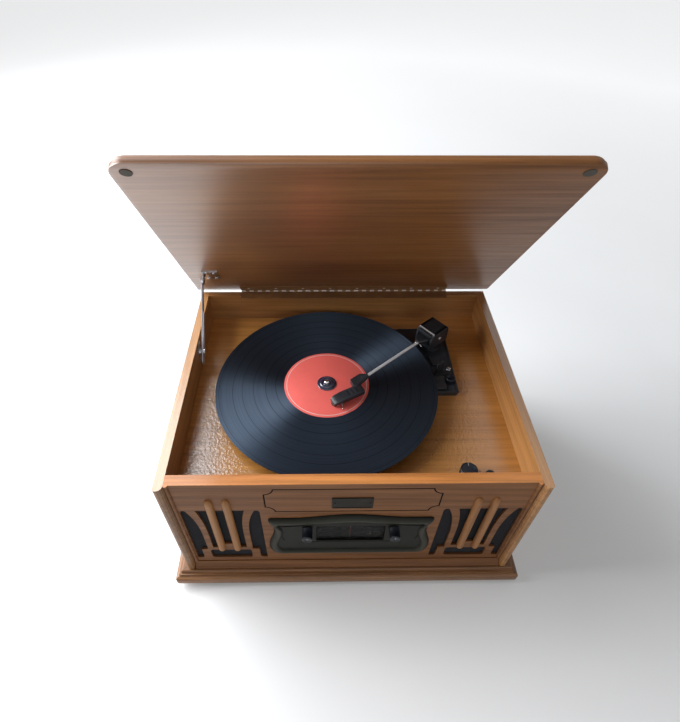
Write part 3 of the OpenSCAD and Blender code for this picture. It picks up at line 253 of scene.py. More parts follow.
def lacquered(name, color, rough=0.32, grain=0.0, bevel=0.0006, wear=0.25, metal=0.0, coat=0.0,
              scale=900, spec=0.5):
    """Paint, plastic or plated metal with a faint texture, dust and rubbed edges."""
    s = Shader(name, rough=rough, metal=metal, Coat_Weight=coat, Coat_Roughness=0.15)
    s.set("Specular IOR Level", spec)
    dust = s.noise(s.coord(), 55, 6, 0.65)
    fleck = s.noise(s.coord(), scale, 2, 0.6)
    dark = tuple(c * (1 - 0.5 * wear) for c in color)
    pale = tuple(min(1, c * (1 + wear) + 0.012 * wear) for c in color)
    s.color(s.ramp(dust, [(0.32, dark), (0.52, color), (0.72, pale)]))
    s.rough(s.span(dust, 0.3, 0.75, max(0.04, rough - 0.06), min(1, rough + 0.14)))
    s.relief(fleck, grain, 0.0002, bevel)
    return s.mat


def brushed(name, color, rough=0.28):
    """Drawn metal, its fine scratches along X."""
    s = Shader(name, rough=rough, metal=1.0)
    line = s.noise(s.mapped((40, 2400, 2400)), 1, 3, 0.6)
    cloud = s.noise(s.coord(), 40, 4, 0.6)
    s.color(s.mix(s.span(cloud, 0.35, 0.7), tuple(0.72 * c for c in color), color))
    s.rough(s.span(line, 0.3, 0.7, rough - 0.08, rough + 0.14))
    s.relief(line, 0.08, 0.0001, 0.0004)
    return s.mat


def plain_paper(name, color, rough):
    """Paper or pressed pulp with a faint fibre."""
    s = Shader(name, rough=rough)
    fibre = s.noise(s.coord(), 1500, 3, 0.7)
    cloud = s.noise(s.coord(), 25, 4, 0.5)
    s.color(s.mix(s.span(cloud, 0.3, 0.7), tuple(0.88 * c for c in color), color))
    s.relief(fibre, 0.12, 0.0001)
    return s.mat


PLAIN_OAK = (0.230, 0.100, 0.032), (0.420, 0.195, 0.062), (0.560, 0.290, 0.105)
# the front's top edge gets a strong painted highlight
OAK_FRONT = oak("oak_front", (0.118, 0.045, 0.016), (0.225, 0.092, 0.032), (0.325, 0.144, 0.050), "X",
                (7.7, 2.4, 0.3), rough=0.5, coat=0.0, spec=0.22, figure=0.5, painted_rim_light_and_coat=((2.7, 2.5, 1.9), 0.6))
# the side boards get a faint painted highlight on their top edges, and painted shade on their outer faces and
# left front post
OAK_SIDE = oak("oak_side_boards", *PLAIN_OAK, "Y", (0.8, 5.1, 2.2), rough=0.42, coat=0.12, ior=1.8,
               speckle=0.35, painted_rim_light_and_coat=((1.15, 1.15, 1.1), 1.0), painted_shade=(0.60, 0.57, 0.53))
OAK_DECK = oak("oak_deck", (0.360, 0.150, 0.032), (0.560, 0.250, 0.055), (0.700, 0.350, 0.090), "X",
               (1.2, 8.8, 0.1), rough=0.34, coat=1.0, ior=1.8, figure=0.25, speckle=1.0, haze=0.13)
OAK_LID = oak("oak_lid", (0.130, 0.048, 0.015), (0.255, 0.104, 0.032), (0.370, 0.168, 0.055), "X",
              (5.4, 1.1, 3.3), rough=0.40, coat=1.0, ior=1.95, figure=0.3, haze=0.36, dulled=0.05,
              spec=0.18, tilt=(math.radians(LID_OPEN), 0, 0))
OAK_POST = oak("oak_turned_bars", (0.22, 0.090, 0.028), (0.36, 0.157, 0.050), (0.47, 0.235, 0.083), "Z",
               (2.9, 0.7, 6.6), rough=0.45, coat=0.0, spec=0.3, figure=0.2, bevel=0)
OAK_BACK = oak("oak_back_rail", *PLAIN_OAK, "X", (9.1, 3.2, 4.7))
PINE = oak("pine_blocks", (0.30, 0.17, 0.07), (0.42, 0.26, 0.12), (0.50, 0.33, 0.17), "X", (2, 2, 2),
           rough=0.6, coat=0, figure=0.2)
HARDBOARD = lacquered("hardboard", (0.075, 0.042, 0.022), 0.62, 0.5, wear=0.35, scale=1400)


def plinth_oak():
    """Oak whose grain turns with the plinth's mitred rails."""
    s = Shader("oak_plinth", rough=0.45, Coat_Weight=0.15, Coat_Roughness=0.25)
    s.set("Specular IOR Level", 0.3)
    x, y, z = s.xyz()
    past_x = s.math("SUBTRACT", s.math("ABSOLUTE", x), 0.238)
    past_y = s.math("SUBTRACT", s.math("ABSOLUTE", y), 0.187)
    ends = s.math("GREATER_THAN", past_x, past_y)
    cols, heights = [], []
    for along in ((4.0, 120.0, 120.0), (120.0, 4.0, 120.0)):
        fine = tuple(6 * a for a in along)
        streak = s.noise(s.mapped(along, (1, 3, 2)), 1, 7, 0.62, 0.25)
        line = s.noise(s.mapped(fine, (4, 1, 2)), 1, 3, 0.6)
        c = s.ramp(streak, [(0.3, (0.120, 0.052, 0.021)), (0.5, (0.235, 0.108, 0.043)),
                            (0.72, (0.350, 0.175, 0.072))])
        cols.append(s.mix(s.math("MULTIPLY", s.span(line, 0.5, 0.7), 0.45), c, (0.045, 0.017, 0.006)))
        heights.append(line)
    mitre = s.math("ABSOLUTE", s.math("SUBTRACT", past_x, past_y))
    seam = s.span(mitre, 0.0, 0.0006, 1.0, 0.0)
    col = s.mix(ends, cols[0], cols[1])
    s.color(s.mix(s.math("MULTIPLY", seam, 0.75), col, (0.03, 0.012, 0.006)))
    s.relief(s.mix(ends, heights[0], heights[1]), 0.15, 0.0003, 0.0009)
    return s.mat


def vinyl():
    """Black record: fine grooves in bands, with the glint that runs across them."""
    s = Shader("record_vinyl", rough=0.55, color=(0.006, 0.007, 0.009))
    s.set("Specular IOR Level", 1.0)
    s.set("Specular Tint", (0.50, 0.70, 1.0, 1))
    s.set("Anisotropic", 1.0)
    s.set("Anisotropic Rotation", 0.25)
    x, y, z = s.xyz(s.mapped((1, 1, 1), tuple(-SPINDLE * MM)))
    r = s.math("SQRT", s.math("ADD", s.math("MULTIPLY", x, x), s.math("MULTIPLY", y, y)))
    comb = s.node("ShaderNodeCombineXYZ")
    s.link(r, comb.inputs[0])
    fine = s.noise(comb.outputs[0], 900, 3, 0.8)
    bands = s.noise(comb.outputs[0], 120, 3, 0.7)
    dusty = s.noise(s.coord(), 260, 5, 0.7)
    col = s.mix(s.span(fine, 0.3, 0.7), (0.0022, 0.0026, 0.0040), (0.0070, 0.0085, 0.0130))
    uneven = s.math("MULTIPLY", s.noise(comb.outputs[0], 45, 1), 0.012)
    gap = s.math("PINGPONG", s.math("ADD", r, uneven), 0.0075)
    tracks = s.span(gap, 0.0001, 0.0006, 0.50, 1.0)
    glint = s.math("MULTIPLY", tracks, s.span(fine, 0.35, 0.65, 0.75, 1.2))
    s.link(glint, s.bsdf.inputs["Specular IOR Level"])
    s.color(s.mix(s.span(dusty, 0.72, 0.80), col, (0.05, 0.055, 0.065)))
    grooves = s.math("ADD", s.math("MULTIPLY", bands, 0.6), s.math("MULTIPLY", fine, 0.4))
    s.rough(s.span(grooves, 0.3, 0.7, 0.40, 0.72))
    s.relief(s.math("ADD", bands, s.math("MULTIPLY", fine, 0.3)), 0.10, 0.0003)
    t = s.node("ShaderNodeTangent", direction_type="RADIAL", axis="Z")
    s.link(t.outputs[0], s.bsdf.inputs["Tangent"])
    return s.mat


def cloth_mat():
    """Open black weave of the loudspeaker cloth."""
    s = Shader("speaker_cloth", rough=0.9, Sheen_Weight=0.08)
    s.set("Specular IOR Level", 0.15)
    u, v, w = s.xyz()
    warp = s.math("SINE", s.math("MULTIPLY", u, 4200))
    weft = s.math("SINE", s.math("MULTIPLY", w, 4200))
    weave = s.math("MULTIPLY", warp, weft)
    cloud = s.noise(s.coord(), 60, 4, 0.6)
    col = s.mix(s.span(weave, -0.4, 0.9), (0.002, 0.002, 0.003), (0.018, 0.019, 0.026))
    s.color(s.mix(s.span(cloud, 0.35, 0.75), col, (0.006, 0.006, 0.009)))
    s.relief(weave, 0.5, 0.0004)
    return s.mat


def bezel_mat():
    """Dark olive-bronze casting, with a painted highlight that makes its raised lines paler."""
    s = Shader("bezel_bronze", rough=0.40)
    s.set("Specular IOR Level", 0.10)
    cloud = s.noise(s.coord(), 38, 6, 0.65)
    fleck = s.noise(s.coord(), 700, 3, 0.6)
    # painted highlight: the parts that stand furthest forward are made paler in the colour
    painted_highlight_mask = s.span(s.xyz()[1], -0.1720, -0.1752)
    col = s.ramp(cloud, [(0.3, (0.006, 0.006, 0.004)), (0.52, (0.011, 0.011, 0.008)),
                         (0.75, (0.019, 0.018, 0.013))])
    s.color(s.mix(s.math("MULTIPLY", painted_highlight_mask, 0.45), col, (0.105, 0.102, 0.078)))
    s.rough(s.span(cloud, 0.3, 0.7, 0.32, 0.50))
    s.relief(fleck, 0.12, 0.0002, 0.0003)
    return s.mat


def glass_mat():
    """Clear dial window with a faint smear."""
    s = Shader("dial_glass", rough=0.06, color=(0.010, 0.011, 0.011), IOR=1.45)
    s.set("Specular IOR Level", 0.1)
    s.set("Alpha", 0.1)
    smear = s.noise(s.coord(), 90, 4, 0.6)
    s.rough(s.span(smear, 0.35, 0.75, 0.10, 0.20))
    s.mat.blend_method = "BLEND"
    return s.mat


BLACK = lacquered("black_moulding", (0.014, 0.017, 0.022), 0.44, 0.22, 0.0006, 0.4)
BLACK_FINE = lacquered("black_switch", (0.008, 0.010, 0.016), 0.34, 0.1, 0.0004, 0.4, coat=0.05, spec=0.28)
GREY = lacquered("grey_key", (0.040, 0.042, 0.046), 0.42, 0.25, 0.0005, 0.3)
RUBBER = lacquered("rubber", (0.012, 0.011, 0.011), 0.78, 0.5, 0.0006, 0.5, scale=1600)
PAD = lacquered("pad_felt", (0.085, 0.076, 0.064), 0.85, 0.6, 0.0006, 0.4, scale=1800)
STEEL = brushed("steel", (0.62, 0.62, 0.64), 0.26)
STAY_ZINC = lacquered("stay_zinc_plate", (0.50, 0.50, 0.55), 0.34, 0.1, 0.0003, 0.3, metal=0.35)
SATIN = lacquered("arm_satin_metal", (0.78, 0.79, 0.83), 0.30, 0.05, 0.0002, 0.15, metal=0.3)
CHROME = brushed("arm_chrome", (0.86, 0.86, 0.88), 0.14)
# cream stands in for the light on every other knuckle, a painted highlight; the hinge screws share it
HINGE_CREAM_AND_HIGHLIGHT = lacquered("hinge_cream_and_highlight", (0.72, 0.62, 0.52), 0.35, 0.1, 0.0002, 0.15)
HINGE_BRONZE = lacquered("hinge_bronze", (0.250, 0.122, 0.048), 0.50, 0.2, 0.0003, 0.25, spec=0.3)
BRASS = brushed("brass", (0.62, 0.44, 0.20), 0.30)
ZINC = brushed("zinc", (0.48, 0.48, 0.50), 0.42)
PLATTER = brushed("platter_metal", (0.12, 0.12, 0.13), 0.35)
COPPER = lacquered("copper_wire", (0.33, 0.12, 0.05), 0.35, 0.4, 0.0004, 0.3, metal=0.6)
BOARD = lacquered("board_green", (0.030, 0.110, 0.045), 0.38, 0.15, 0.0003, 0.3)
IVORY = lacquered("ivory_plastic", (0.56, 0.53, 0.46), 0.40, 0.15, 0.0004, 0.2)
PICKUP = lacquered("pickup_brown", (0.085, 0.045, 0.028), 0.40, 0.2, 0.0003, 0.4)
NYLON = lacquered("nylon", (0.66, 0.63, 0.56), 0.42, 0.1, 0.0004, 0.15)
RED = lacquered("socket_red", (0.55, 0.045, 0.02), 0.35, 0.05, 0.0002, 0.2)
POINTER = lacquered("pointer_red", (0.10, 0.020, 0.012), 0.45, 0.05, 0.0002, 0.2, spec=0.2)
LABEL = plain_paper("label_red", (0.90, 0.150, 0.125), 0.6)
LABEL_LINE = plain_paper("label_white", (0.80, 0.72, 0.68), 0.5)
CAP = lacquered("cap_blue_black", (0.020, 0.024, 0.055), 0.16, 0.0, 0.0002, 0.3, coat=1.0)
CONE = plain_paper("cone_paper", (0.045, 0.040, 0.036), 0.85)
PLATE = lacquered("nameplate_metal", (0.024, 0.020, 0.015), 0.50, 0.25, 0.0003, 0.6, spec=0.12)
INLAY = lacquered("inlay_black", (0.004, 0.003, 0.003), 0.7, 0.1, 0, 0.2, spec=0.05)
BRONZE = bezel_mat()
GLASS = glass_mat()
CLOTH = cloth_mat()
VINYL = vinyl()
PLINTH = plinth_oak()
SCALE = lacquered("dial_card", (0.010, 0.011, 0.010), 0.60, 0.0, 0, 0.3, spec=0.15)
PRINT = lacquered("knob_print", (0.30, 0.29, 0.25), 0.45, 0.0, 0, 0.15)
DIAL_PRINT = lacquered("dial_print", (0.085, 0.082, 0.070), 0.6, 0.0, 0, 0.15, spec=0.1)
LED = lacquered("led_lens", (0.12, 0.030, 0.025), 0.25, 0.0, 0.0002, 0.2, coat=0.8)

CAD_LOOKS = (
    (PLINTH, "plinth"), (PINE, "bottom_board inner_cleats"), (OAK_BACK, "back_rail"),
    (OAK_SIDE, "side_panel_left side_panel_right"), (OAK_FRONT, "front_panel base_moulding"),
    (OAK_DECK, "deck_board"), (OAK_POST, "grille_spindles"), (OAK_LID, "lid"),
    (HARDBOARD, "rear_panel speaker_baffles"), (CLOTH, "grille_cloths"), (CONE, "speaker_cones"),
    (STEEL, "wood_screws stay_wall_plate stay_bracket stay_slider"), (STAY_ZINC, "stay_arm"),
    (HINGE_CREAM_AND_HIGHLIGHT, "hinge_leaf_cabinet hinge_leaf_lid"), (PLATTER, "platter"), (SATIN, "arm_tube"),
    (ZINC, "speaker_frames function_switch turntable_motor transformer"),
    (BRASS, "main_bearing motor_pulley"), (RUBBER, "rubber_feet platter_mat drive_belt"),
    (PLATE, "nameplate"), (BRONZE, "tuner_bezel"), (SCALE, "dial_scale"), (GLASS, "dial_window"),
    (LED, "stereo_led"), (POINTER, "dial_pointer"), (BOARD, "tuner_board main_board"),
    (NYLON, "tuning_drum"), (IVORY, "audio_sockets"), (VINYL, "record"), (LABEL, "record_label"),
    (CAP, "hub_cap"), (PICKUP, "cartridge"), (GREY, "stop_switch"), (PAD, "lid_pads"),
    (BLACK_FINE, "volume_knob tuning_knob deck_knob speed_knob"),
    (BLACK, "headphone_socket mech_base arm_pillar arm_yoke headshell arm_rest mains_inlet"),
)
for look, nodes in CAD_LOOKS:
    for node in nodes.split():
        NODES[node].data.materials.clear()
        NODES[node].data.materials.append(look)


# ---- mesh tools
def piece(name, verts, faces, look, body, slot, stands_for=(), smooth=40, matrix=None):
    """A mesh from points in millimetres, riding on a body."""
    me = bpy.data.meshes.new(name)
    me.from_pydata([tuple(v) for v in verts], [], faces)
    if matrix is not None:
        me.transform(matrix)
    me.transform(Matrix.Scale(MM, 4))
    bm = bmesh.new()
    bm.from_mesh(me)
    bmesh.ops.recalc_face_normals(bm, faces=bm.faces)
    bm.to_mesh(me)
    bm.free()
    me.materials.append(look)
    if smooth:
        me.shade_smooth()
        me.set_sharp_from_angle(angle=math.radians(smooth))
    ob = bpy.data.objects.new(name, me)
    SCENE.collection.objects.link(ob)
    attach(ob, body)
    if stands_for:
        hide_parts(*([stands_for] if isinstance(stands_for, str) else stands_for))
    return ob


def soften(ob, width, segments=2, angle=38):
    """Rounds an object's sharp edges with a bevel."""
    m = ob.modifiers.new("soft_edges", "BEVEL")
    m.width = width * MM
    m.segments = segments
    m.limit_method = "ANGLE"
    m.angle_limit = math.radians(angle)


def loft(rings, caps=True):
    """Points and faces of a skin through closed rings of equal length."""
    n = len(rings[0])
    verts = [p for ring in rings for p in ring]
    faces = []
    for k in range(len(rings) - 1):
        for i in range(n):
            j = (i + 1) % n
            faces.append((k * n + i, k * n + j, (k + 1) * n + j, (k + 1) * n + i))
    if caps:
        faces.append(tuple(range(n - 1, -1, -1)))
        faces.append(tuple((len(rings) - 1) * n + i for i in range(n)))
    return verts, faces


def merge(*parts):
    """Several (points, faces) as one."""
    verts, faces = [], []
    for v, f in parts:
        k = len(verts)
        verts += list(v)
        faces += [tuple(i + k for i in face) for face in f]
    return verts, faces


def box(lo, hi, r=0.0):
    """A box whose upright edges are rounded by r."""
    pts = rect(lo[0], lo[1], hi[0], hi[1], r)
    return loft([[(x, y, lo[2]) for x, y in pts], [(x, y, hi[2]) for x, y in pts]])


def rect(x0, y0, x1, y1, r=0.0, n=6, radii=None):
    """A rectangle's outline with rounded corners, anticlockwise."""
    corners = (x0, y0, 180), (x1, y0, 270), (x1, y1, 0), (x0, y1, 90)
    out = []
    for (cx, cy, a0), q in zip(corners, radii or (r, r, r, r)):
        ox = cx + (q if cx == x0 else -q)
        oy = cy + (q if cy == y0 else -q)
        if q <= 0:
            out.append((cx, cy))
            continue
        for i in range(n + 1):
            a = math.radians(a0 + 90 * i / n)
            out.append((ox + q * math.cos(a), oy + q * math.sin(a)))
    return out


def prism(pts, axis, a, b):
    """An outline made solid along an axis: Z takes (x, y), Y takes (x, z), X takes (y, z)."""
    place = {"X": lambda p, t: (t, p[0], p[1]), "Y": lambda p, t: (p[0], t, p[1]),
             "Z": lambda p, t: (p[0], p[1], t)}[axis]
    return loft([[place(p, a) for p in pts], [place(p, b) for p in pts]])


def turned(profile, centre, axis="Z", n=64, flute=None):
    """A profile of (radius, height) turned about an axis through centre."""
    rings = []
    for r, h in profile:
        ring = []
        for i in range(n):
            a = 2 * math.pi * i / n
            q = max(r, 1e-3) * (flute(a, h) if flute else 1)
            u, v = q * math.cos(a), q * math.sin(a)
            p = {"X": (h, u, v), "Y": (u, h, v), "-Y": (u, -h, v), "Z": (u, v, h)}[axis]
            ring.append(tuple(c + d for c, d in zip(p, centre)))
        rings.append(ring)
    return loft(rings)


def tube(points, r, n=12):
    """A round rod along a line of points."""
    rings, pts = [], [Vector(p) for p in points]
    for i, p in enumerate(pts):
        d = (pts[min(i + 1, len(pts) - 1)] - pts[max(i - 1, 0)]).normalized()
        side = d.cross(Vector((0, 0, 1)))
        side = (side if side.length > 1e-3 else Vector((1, 0, 0))).normalized()
        up = side.cross(d)
        q = r[i] if isinstance(r, (list, tuple)) else r
        turns = [2 * math.pi * k / n for k in range(n)]
        rings.append([tuple(p + q * (math.cos(a) * side + math.sin(a) * up)) for a in turns])
    return loft(rings)


# ---- lid
LID_HALF_W, LID_FRONT_Y = 227, -183
FRONT_R, REAR_R = 19, 3  # the lid's corners


def lid_ring(inset, z):
    """The shut lid's outline at one height, drawn in by inset."""
    front, rear = max(FRONT_R - inset, 2), max(REAR_R - inset, 0.6)
    pts = rect(-LID_HALF_W + inset, LID_FRONT_Y + inset, LID_HALF_W - inset, REAR_Y - inset * 0.6,
               n=10, radii=(front, front, rear, rear))
    return [(x, y, z) for x, y in pts]


edge = [(0.8, 0.0), (0.2, 0.25), (0, 0.8), (0, 5.2), (0.35, 5.9), (1.0, 6.25), (1.25, 6.5)]
edge += [(1.25 + 4.2 * (1 - math.cos(math.radians(a))), 6.6 + 4.4 * math.sin(math.radians(a)))
         for a in range(10, 91, 16)]
piece("lid_board", *loft([lid_ring(inset, LID_Z + z) for inset, z in edge]), OAK_LID, "lid", "oak",
      "lid", smooth=32, matrix=OPENED)

pads = [turned([(4.9, 242.35), (5.8, 242.4), (6, 242.7), (6, LID_Z)], (x, -168.7, 0), n=40)
        for x in (-210.5, 210.5)]
piece("lid_felt_pads", *merge(*pads), PAD, "lid", "rubber", "lid_pads", matrix=OPENED)

# ---- side boards
NOSE_X, NOSE_Y, NOSE_R = 215.4, -169.6, 6.4  # the reeded front edge
nose = [(OUTER_X, -172.2), (219.6, -173.9), (218.4, -175.2), (216.6, -175.9), (214.6, -176)]
for k in range(31):
    a = math.radians(94 + 86 * k / 30)
    r = NOSE_R - (0.55 * max(0, math.cos(2 * math.pi * (k - 7.5) / 7.5)) if k >= 10 else 0)
    nose.append((NOSE_X + r * math.cos(a), NOSE_Y - r * math.sin(a)))
nose += [(INNER_X, -168.9), (INNER_X, REAR_Y), (OUTER_X, REAR_Y)]
for side, sign in (("right", 1), ("left", -1)):
    pts = [(sign * x, y) for x, y in nose]
    ob = piece("side_board_" + side, *prism(pts, "Z", WALL_Z, RIM_Z), OAK_SIDE, "cabinet", "oak",
               "side_panel_" + side, smooth=25)
    soften(ob, 0.7, 2, 60)

# ---- front: inlay, cloths, bars, nameplate
INLAY_HALF_W, INLAY_HALF_H, INLAY_Z, SCOOP_R = 102.0, 26.0, 206, 11.0


def notched(g, y):
    """The inlaid frame's outline with scooped corners, drawn in by g."""
    r = SCOOP_R + g
    a0 = math.asin(min(1, g / r))
    arc = [(INLAY_HALF_W - r * math.cos(t), INLAY_HALF_H - r * math.sin(t))
           for t in [a0 + (math.pi / 2 - 2 * a0) * i / 8 for i in range(9)]]
    pts = []
    for sx, sz in ((1, 1), (-1, 1), (-1, -1), (1, -1)):
        pts += [(sx * x, y, sz * z + INLAY_Z) for x, z in arc][::-1 if sx * sz > 0 else 1]
    return pts


INLAY_BACK, INLAY_FACE = -168.4, -169.12
rings = [notched(g, y) for g, y in ((0.05, INLAY_BACK), (0.05, INLAY_FACE),
                                    (1.55, INLAY_FACE), (1.55, INLAY_BACK))]
piece("inlay_line", *loft(rings, caps=False), INLAY, "cabinet", "black_plastic")

for side, sign in (("right", 1), ("left", -1)):
    n, verts, faces = 24, [], []
    for i in range(n + 1):
        for j in range(n + 1):
            u, v = i / n, j / n
            sag = 0.35 * math.sin(math.pi * u) * math.sin(math.pi * v)
            verts.append((sign * 156 - 52 + 104 * u, -165.75 + sag, 49 + 140 * v))
    faces = [(a, a + 1, a + n + 2, a + n + 1)
             for i in range(n) for a in range(i * (n + 1), i * (n + 1) + n)]
    ob = piece("speaker_cloth_" + side, verts, faces, CLOTH, "cabinet", "cloth",
               "grille_cloths" if sign > 0 else ())

BAR_Z, BAR_TOP, BAR_R, TIP_H = 80.0, 210.0, 5.0, 9
profile = []
for i in range(7):
    a = math.radians(90 * i / 6)
    profile.append((BAR_R * math.sin(a), BAR_Z + BAR_R - BAR_R * math.cos(a)))
for i in range(9):
    a = math.radians(90 * i / 8)
    profile.append((BAR_R * math.cos(a), BAR_TOP - TIP_H + TIP_H * math.sin(a)))
half_turn = [math.pi * k / 20 for k in range(21)]
spindles = [loft([[(x + max(r, 0.02) * math.cos(t), FRONT_Y - max(r, 0.02) * math.sin(t), z)
                   for t in half_turn] for r, z in profile]) for x in (-166, -146, 146, 166)]
piece("grille_bars", *merge(*spindles), OAK_POST, "cabinet", "oak", "grille_spindles", smooth=50)

NAME_Z = 201
plate = rect(-24, 189.5, 24, 212.5, 1.2, 4)
field = rect(-22.4, 191.1, 22.4, 210.9, 0.8, 4)
rings = [[(x * wide, y, NAME_Z + (z - NAME_Z) * tall) for x, z in outline]
         for outline, y, wide, tall in ((plate, FRONT_Y, 1, 1), (plate, -170.2, 1, 1),
                                        (plate, -170.5, 0.985, 0.97), (field, -170.5, 1, 1),
                                        (field, -169.9, 0.99, 0.98))]
piece("blank_nameplate", *loft(rings), PLATE, "cabinet", "plate_metal", "nameplate", smooth=30)
pins = [turned([(0.9, 0), (0.9, 0.5), (0.5, 0.8), (0.02, 0.9)], (x, -169.9, NAME_Z), "-Y", 16)
        for x in (-20.3, 20.3)]
piece("nameplate_pins", *merge(*pins), PLATE, "cabinet", "plate_metal")

# ---- tuner
BEZEL_Z, BEZEL_H, BEZEL_HALF_W = 71.0, 94.0, 95
CROWN_H, CROWN_HALF_W = 8, 74.1  # the rise in the middle of its top


def bezel_outline():
    """The bezel's outline from the left end of its top, clockwise as seen from the front."""
    top = []
    for i in range(-40, 41):
        x = BEZEL_HALF_W * i / 40
        rise = 0
        if abs(x) < CROWN_HALF_W:
            rise = CROWN_H * math.cos(math.pi / 2 * x / CROWN_HALF_W) ** 2
        top.append((x, BEZEL_Z + BEZEL_H + rise))
    side = [(97, 94), (100, 92), (100.5, 88), (98, 82), (95.6, 75), (95, 67), (96, 56), (99, 45),
            (102, 34), (103.2, 24), (103, 14), (100, 5), (95, 0)]
    fine = []
    for i in range(len(side) - 1):
        p0, p1, p2, p3 = (side[max(i - 1, 0)], side[i], side[i + 1], side[min(i + 2, len(side) - 1)])
        for k in range(4):
            t = k / 4
            fine.append(tuple(0.5 * (2 * b + (c - a) * t + (2 * a - 5 * b + 4 * c - d) * t * t
                                     + (3 * b - a - 3 * c + d) * t ** 3)
                              for a, b, c, d in zip(p0, p1, p2, p3)))
    fine.append(side[-1])
    right = [(x, BEZEL_Z + z) for x, z in fine]
    bottom = [(BEZEL_HALF_W - 2 * BEZEL_HALF_W * i / 20, BEZEL_Z) for i in range(1, 20)]
    return top + right + bottom + [(-x, z) for x, z in reversed(right)]


RING = bezel_outline()


def shrunk(d, y):
    """The bezel's outline drawn in by about d, at depth y."""
    mid = BEZEL_Z + BEZEL_H / 2
    return [(x * (1 - d / BEZEL_HALF_W), y, mid + (z - mid) * (1 - 2 * d / BEZEL_H)) for x, z in RING]


steps = [(0, -169.0), (0.0, -170.3), (0.6, -171.3), (1.6, -172.3), (3.0, -173.2), (4.6, -174.0),
         (6.2, -174.45), (7.6, -174.5), (8.8, -174.1), (9.8, -173.2), (10.6, -172.1), (11.4, -171.55)]
piece("bezel_rim", *loft([shrunk(d, y) for d, y in steps], caps=False), BRONZE, "cabinet", "bronze",
      smooth=50)


def ridge(points, r):
    """A raised half-round line on the bezel's field."""
    return tube([(x, -171.45, z) for x, z in points], r, 10)


lines = []
for s in (-1, 1):
    up = [(s * x, 146.6 + 12 * math.cos(math.pi / 2 * x / 88) ** 2) for x in range(86, -2, -4)]
    lines.append(ridge([(s * 87.5, 146)] + up, 0.8))
    lines.append(ridge([(s * 88, 146), (s * 88, 138), (s * 87.2, 128), (s * 85.4, 117), (s * 84, 110)], 0.7))
lines.append(ridge([(-62, 104.2), (62, 104.2)], 0.5))
lines += [ridge([(x, 84), (x, 103)], 0.35) for x in (-66, 66)]
piece("bezel_lines", *merge(*lines), BRONZE, "cabinet", "bronze", smooth=60)


def plate_with_hole(ring_pts, hole, y0, y1):
    """A flat plate between an outline and a rectangular hole, as two skins and walls."""
    bm = bmesh.new()
    loops = []
    for pts in (ring_pts, hole):
        vs = [bm.verts.new((x, y0, z)) for x, z in pts]
        loops += [bm.edges.new((vs[i], vs[(i + 1) % len(vs)])) for i in range(len(vs))]
    bmesh.ops.triangle_fill(bm, use_beauty=True, use_dissolve=False, edges=loops)
    geo = bmesh.ops.extrude_face_region(bm, geom=list(bm.faces))
    for v in [g for g in geo["geom"] if isinstance(g, bmesh.types.BMVert)]:
        v.co.y = y1
    bm.verts.ensure_lookup_table()
    bm.verts.index_update()
    out = [tuple(v.co) for v in bm.verts], [tuple(v.index for v in f.verts) for f in bm.faces]
    bm.free()
    return out


field_ring = [(x, z) for x, y, z in shrunk(10.9, 0)]
piece("bezel_field", *plate_with_hole(field_ring, rect(-43, 107, 43, 147, 2, 4), -171.5, -169.0),
      BRONZE, "cabinet", "bronze", "tuner_bezel", smooth=30)

DIAL_HALF, MARKS, MARK_H = 39.6, 26, 3.0
PRINT_Y, CARD_Y = -167.62, -167.5


def dial_x(i, count):
    """The place of one of count even steps along the dial."""
    return -DIAL_HALF + 2 * DIAL_HALF * i / (count - 1)


marks = []
for z, up in ((126.5, 1), (121.5, -1)):
    for i in range(MARKS):
        x, end = dial_x(i, MARKS), z + up * MARK_H * (1 if i % 5 == 0 else 0.5)
        marks.append(box((x - 0.13, PRINT_Y, min(z, end)), (x + 0.13, CARD_Y, max(z, end))))
marks.append(box((-40, PRINT_Y, 124 - 0.12), (40, CARD_Y, 124 + 0.12)))
piece("dial_marks", *merge(*marks), DIAL_PRINT, "cabinet", "scale_print", smooth=0)


def numbers(words, z):
    """A row of numbers along the dial."""
    for i, word in enumerate(words):
        cu = bpy.data.curves.new("number_" + word, "FONT")
        cu.body = word
        cu.size = 4.4 * MM
        cu.align_x = "CENTER"
        cu.extrude = 0.06 * MM
        ob = bpy.data.objects.new("dial_number_%s_%d" % (word, int(z)), cu)
        SCENE.collection.objects.link(ob)
        x = max(-37, min(37, dial_x(i, len(words))))
        ob.matrix_world = (Matrix.Translation(Vector((x, -167.56, z)) * MM)
                           @ Matrix.Rotation(math.radians(90), 4, "X"))
        cu.materials.append(DIAL_PRINT)
        bpy.context.view_layer.update()
        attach(ob, "cabinet")


numbers(["88", "92", "96", "100", "104", "108"], 131.5)
numbers(["54", "60", "80", "100", "130", "160"], 113.0)


def knob(name, centre, r, length, axis, node, teeth, depth=0.03, cap=0.8):
    """A knob with a fluted skirt and a dished cap, on the body that its node is named after."""
    def flute(a, h):
        return 1 - depth * (0.5 + 0.5 * math.cos(teeth * a)) if 1.2 < h < length - 2.2 else 1

    prof = [(r * 0.96, 0), (r, 0.4), (r, 1.1), (r, 1.3), (r, length * 0.5), (r, length - 2.3),
            (r, length - 2.1), (r, length - 1.2), (r - 0.35, length - 0.5), (r - 1.0, length - 0.05),
            (r * 0.72, length - 0.1), (r * 0.66, length - cap * 0.6), (r * 0.3, length - cap),
            (0.01, length - cap)]
    piece(name, *turned(prof, centre, axis, teeth * 6, flute), BLACK_FINE, node, "black_plastic", node,
          smooth=50)


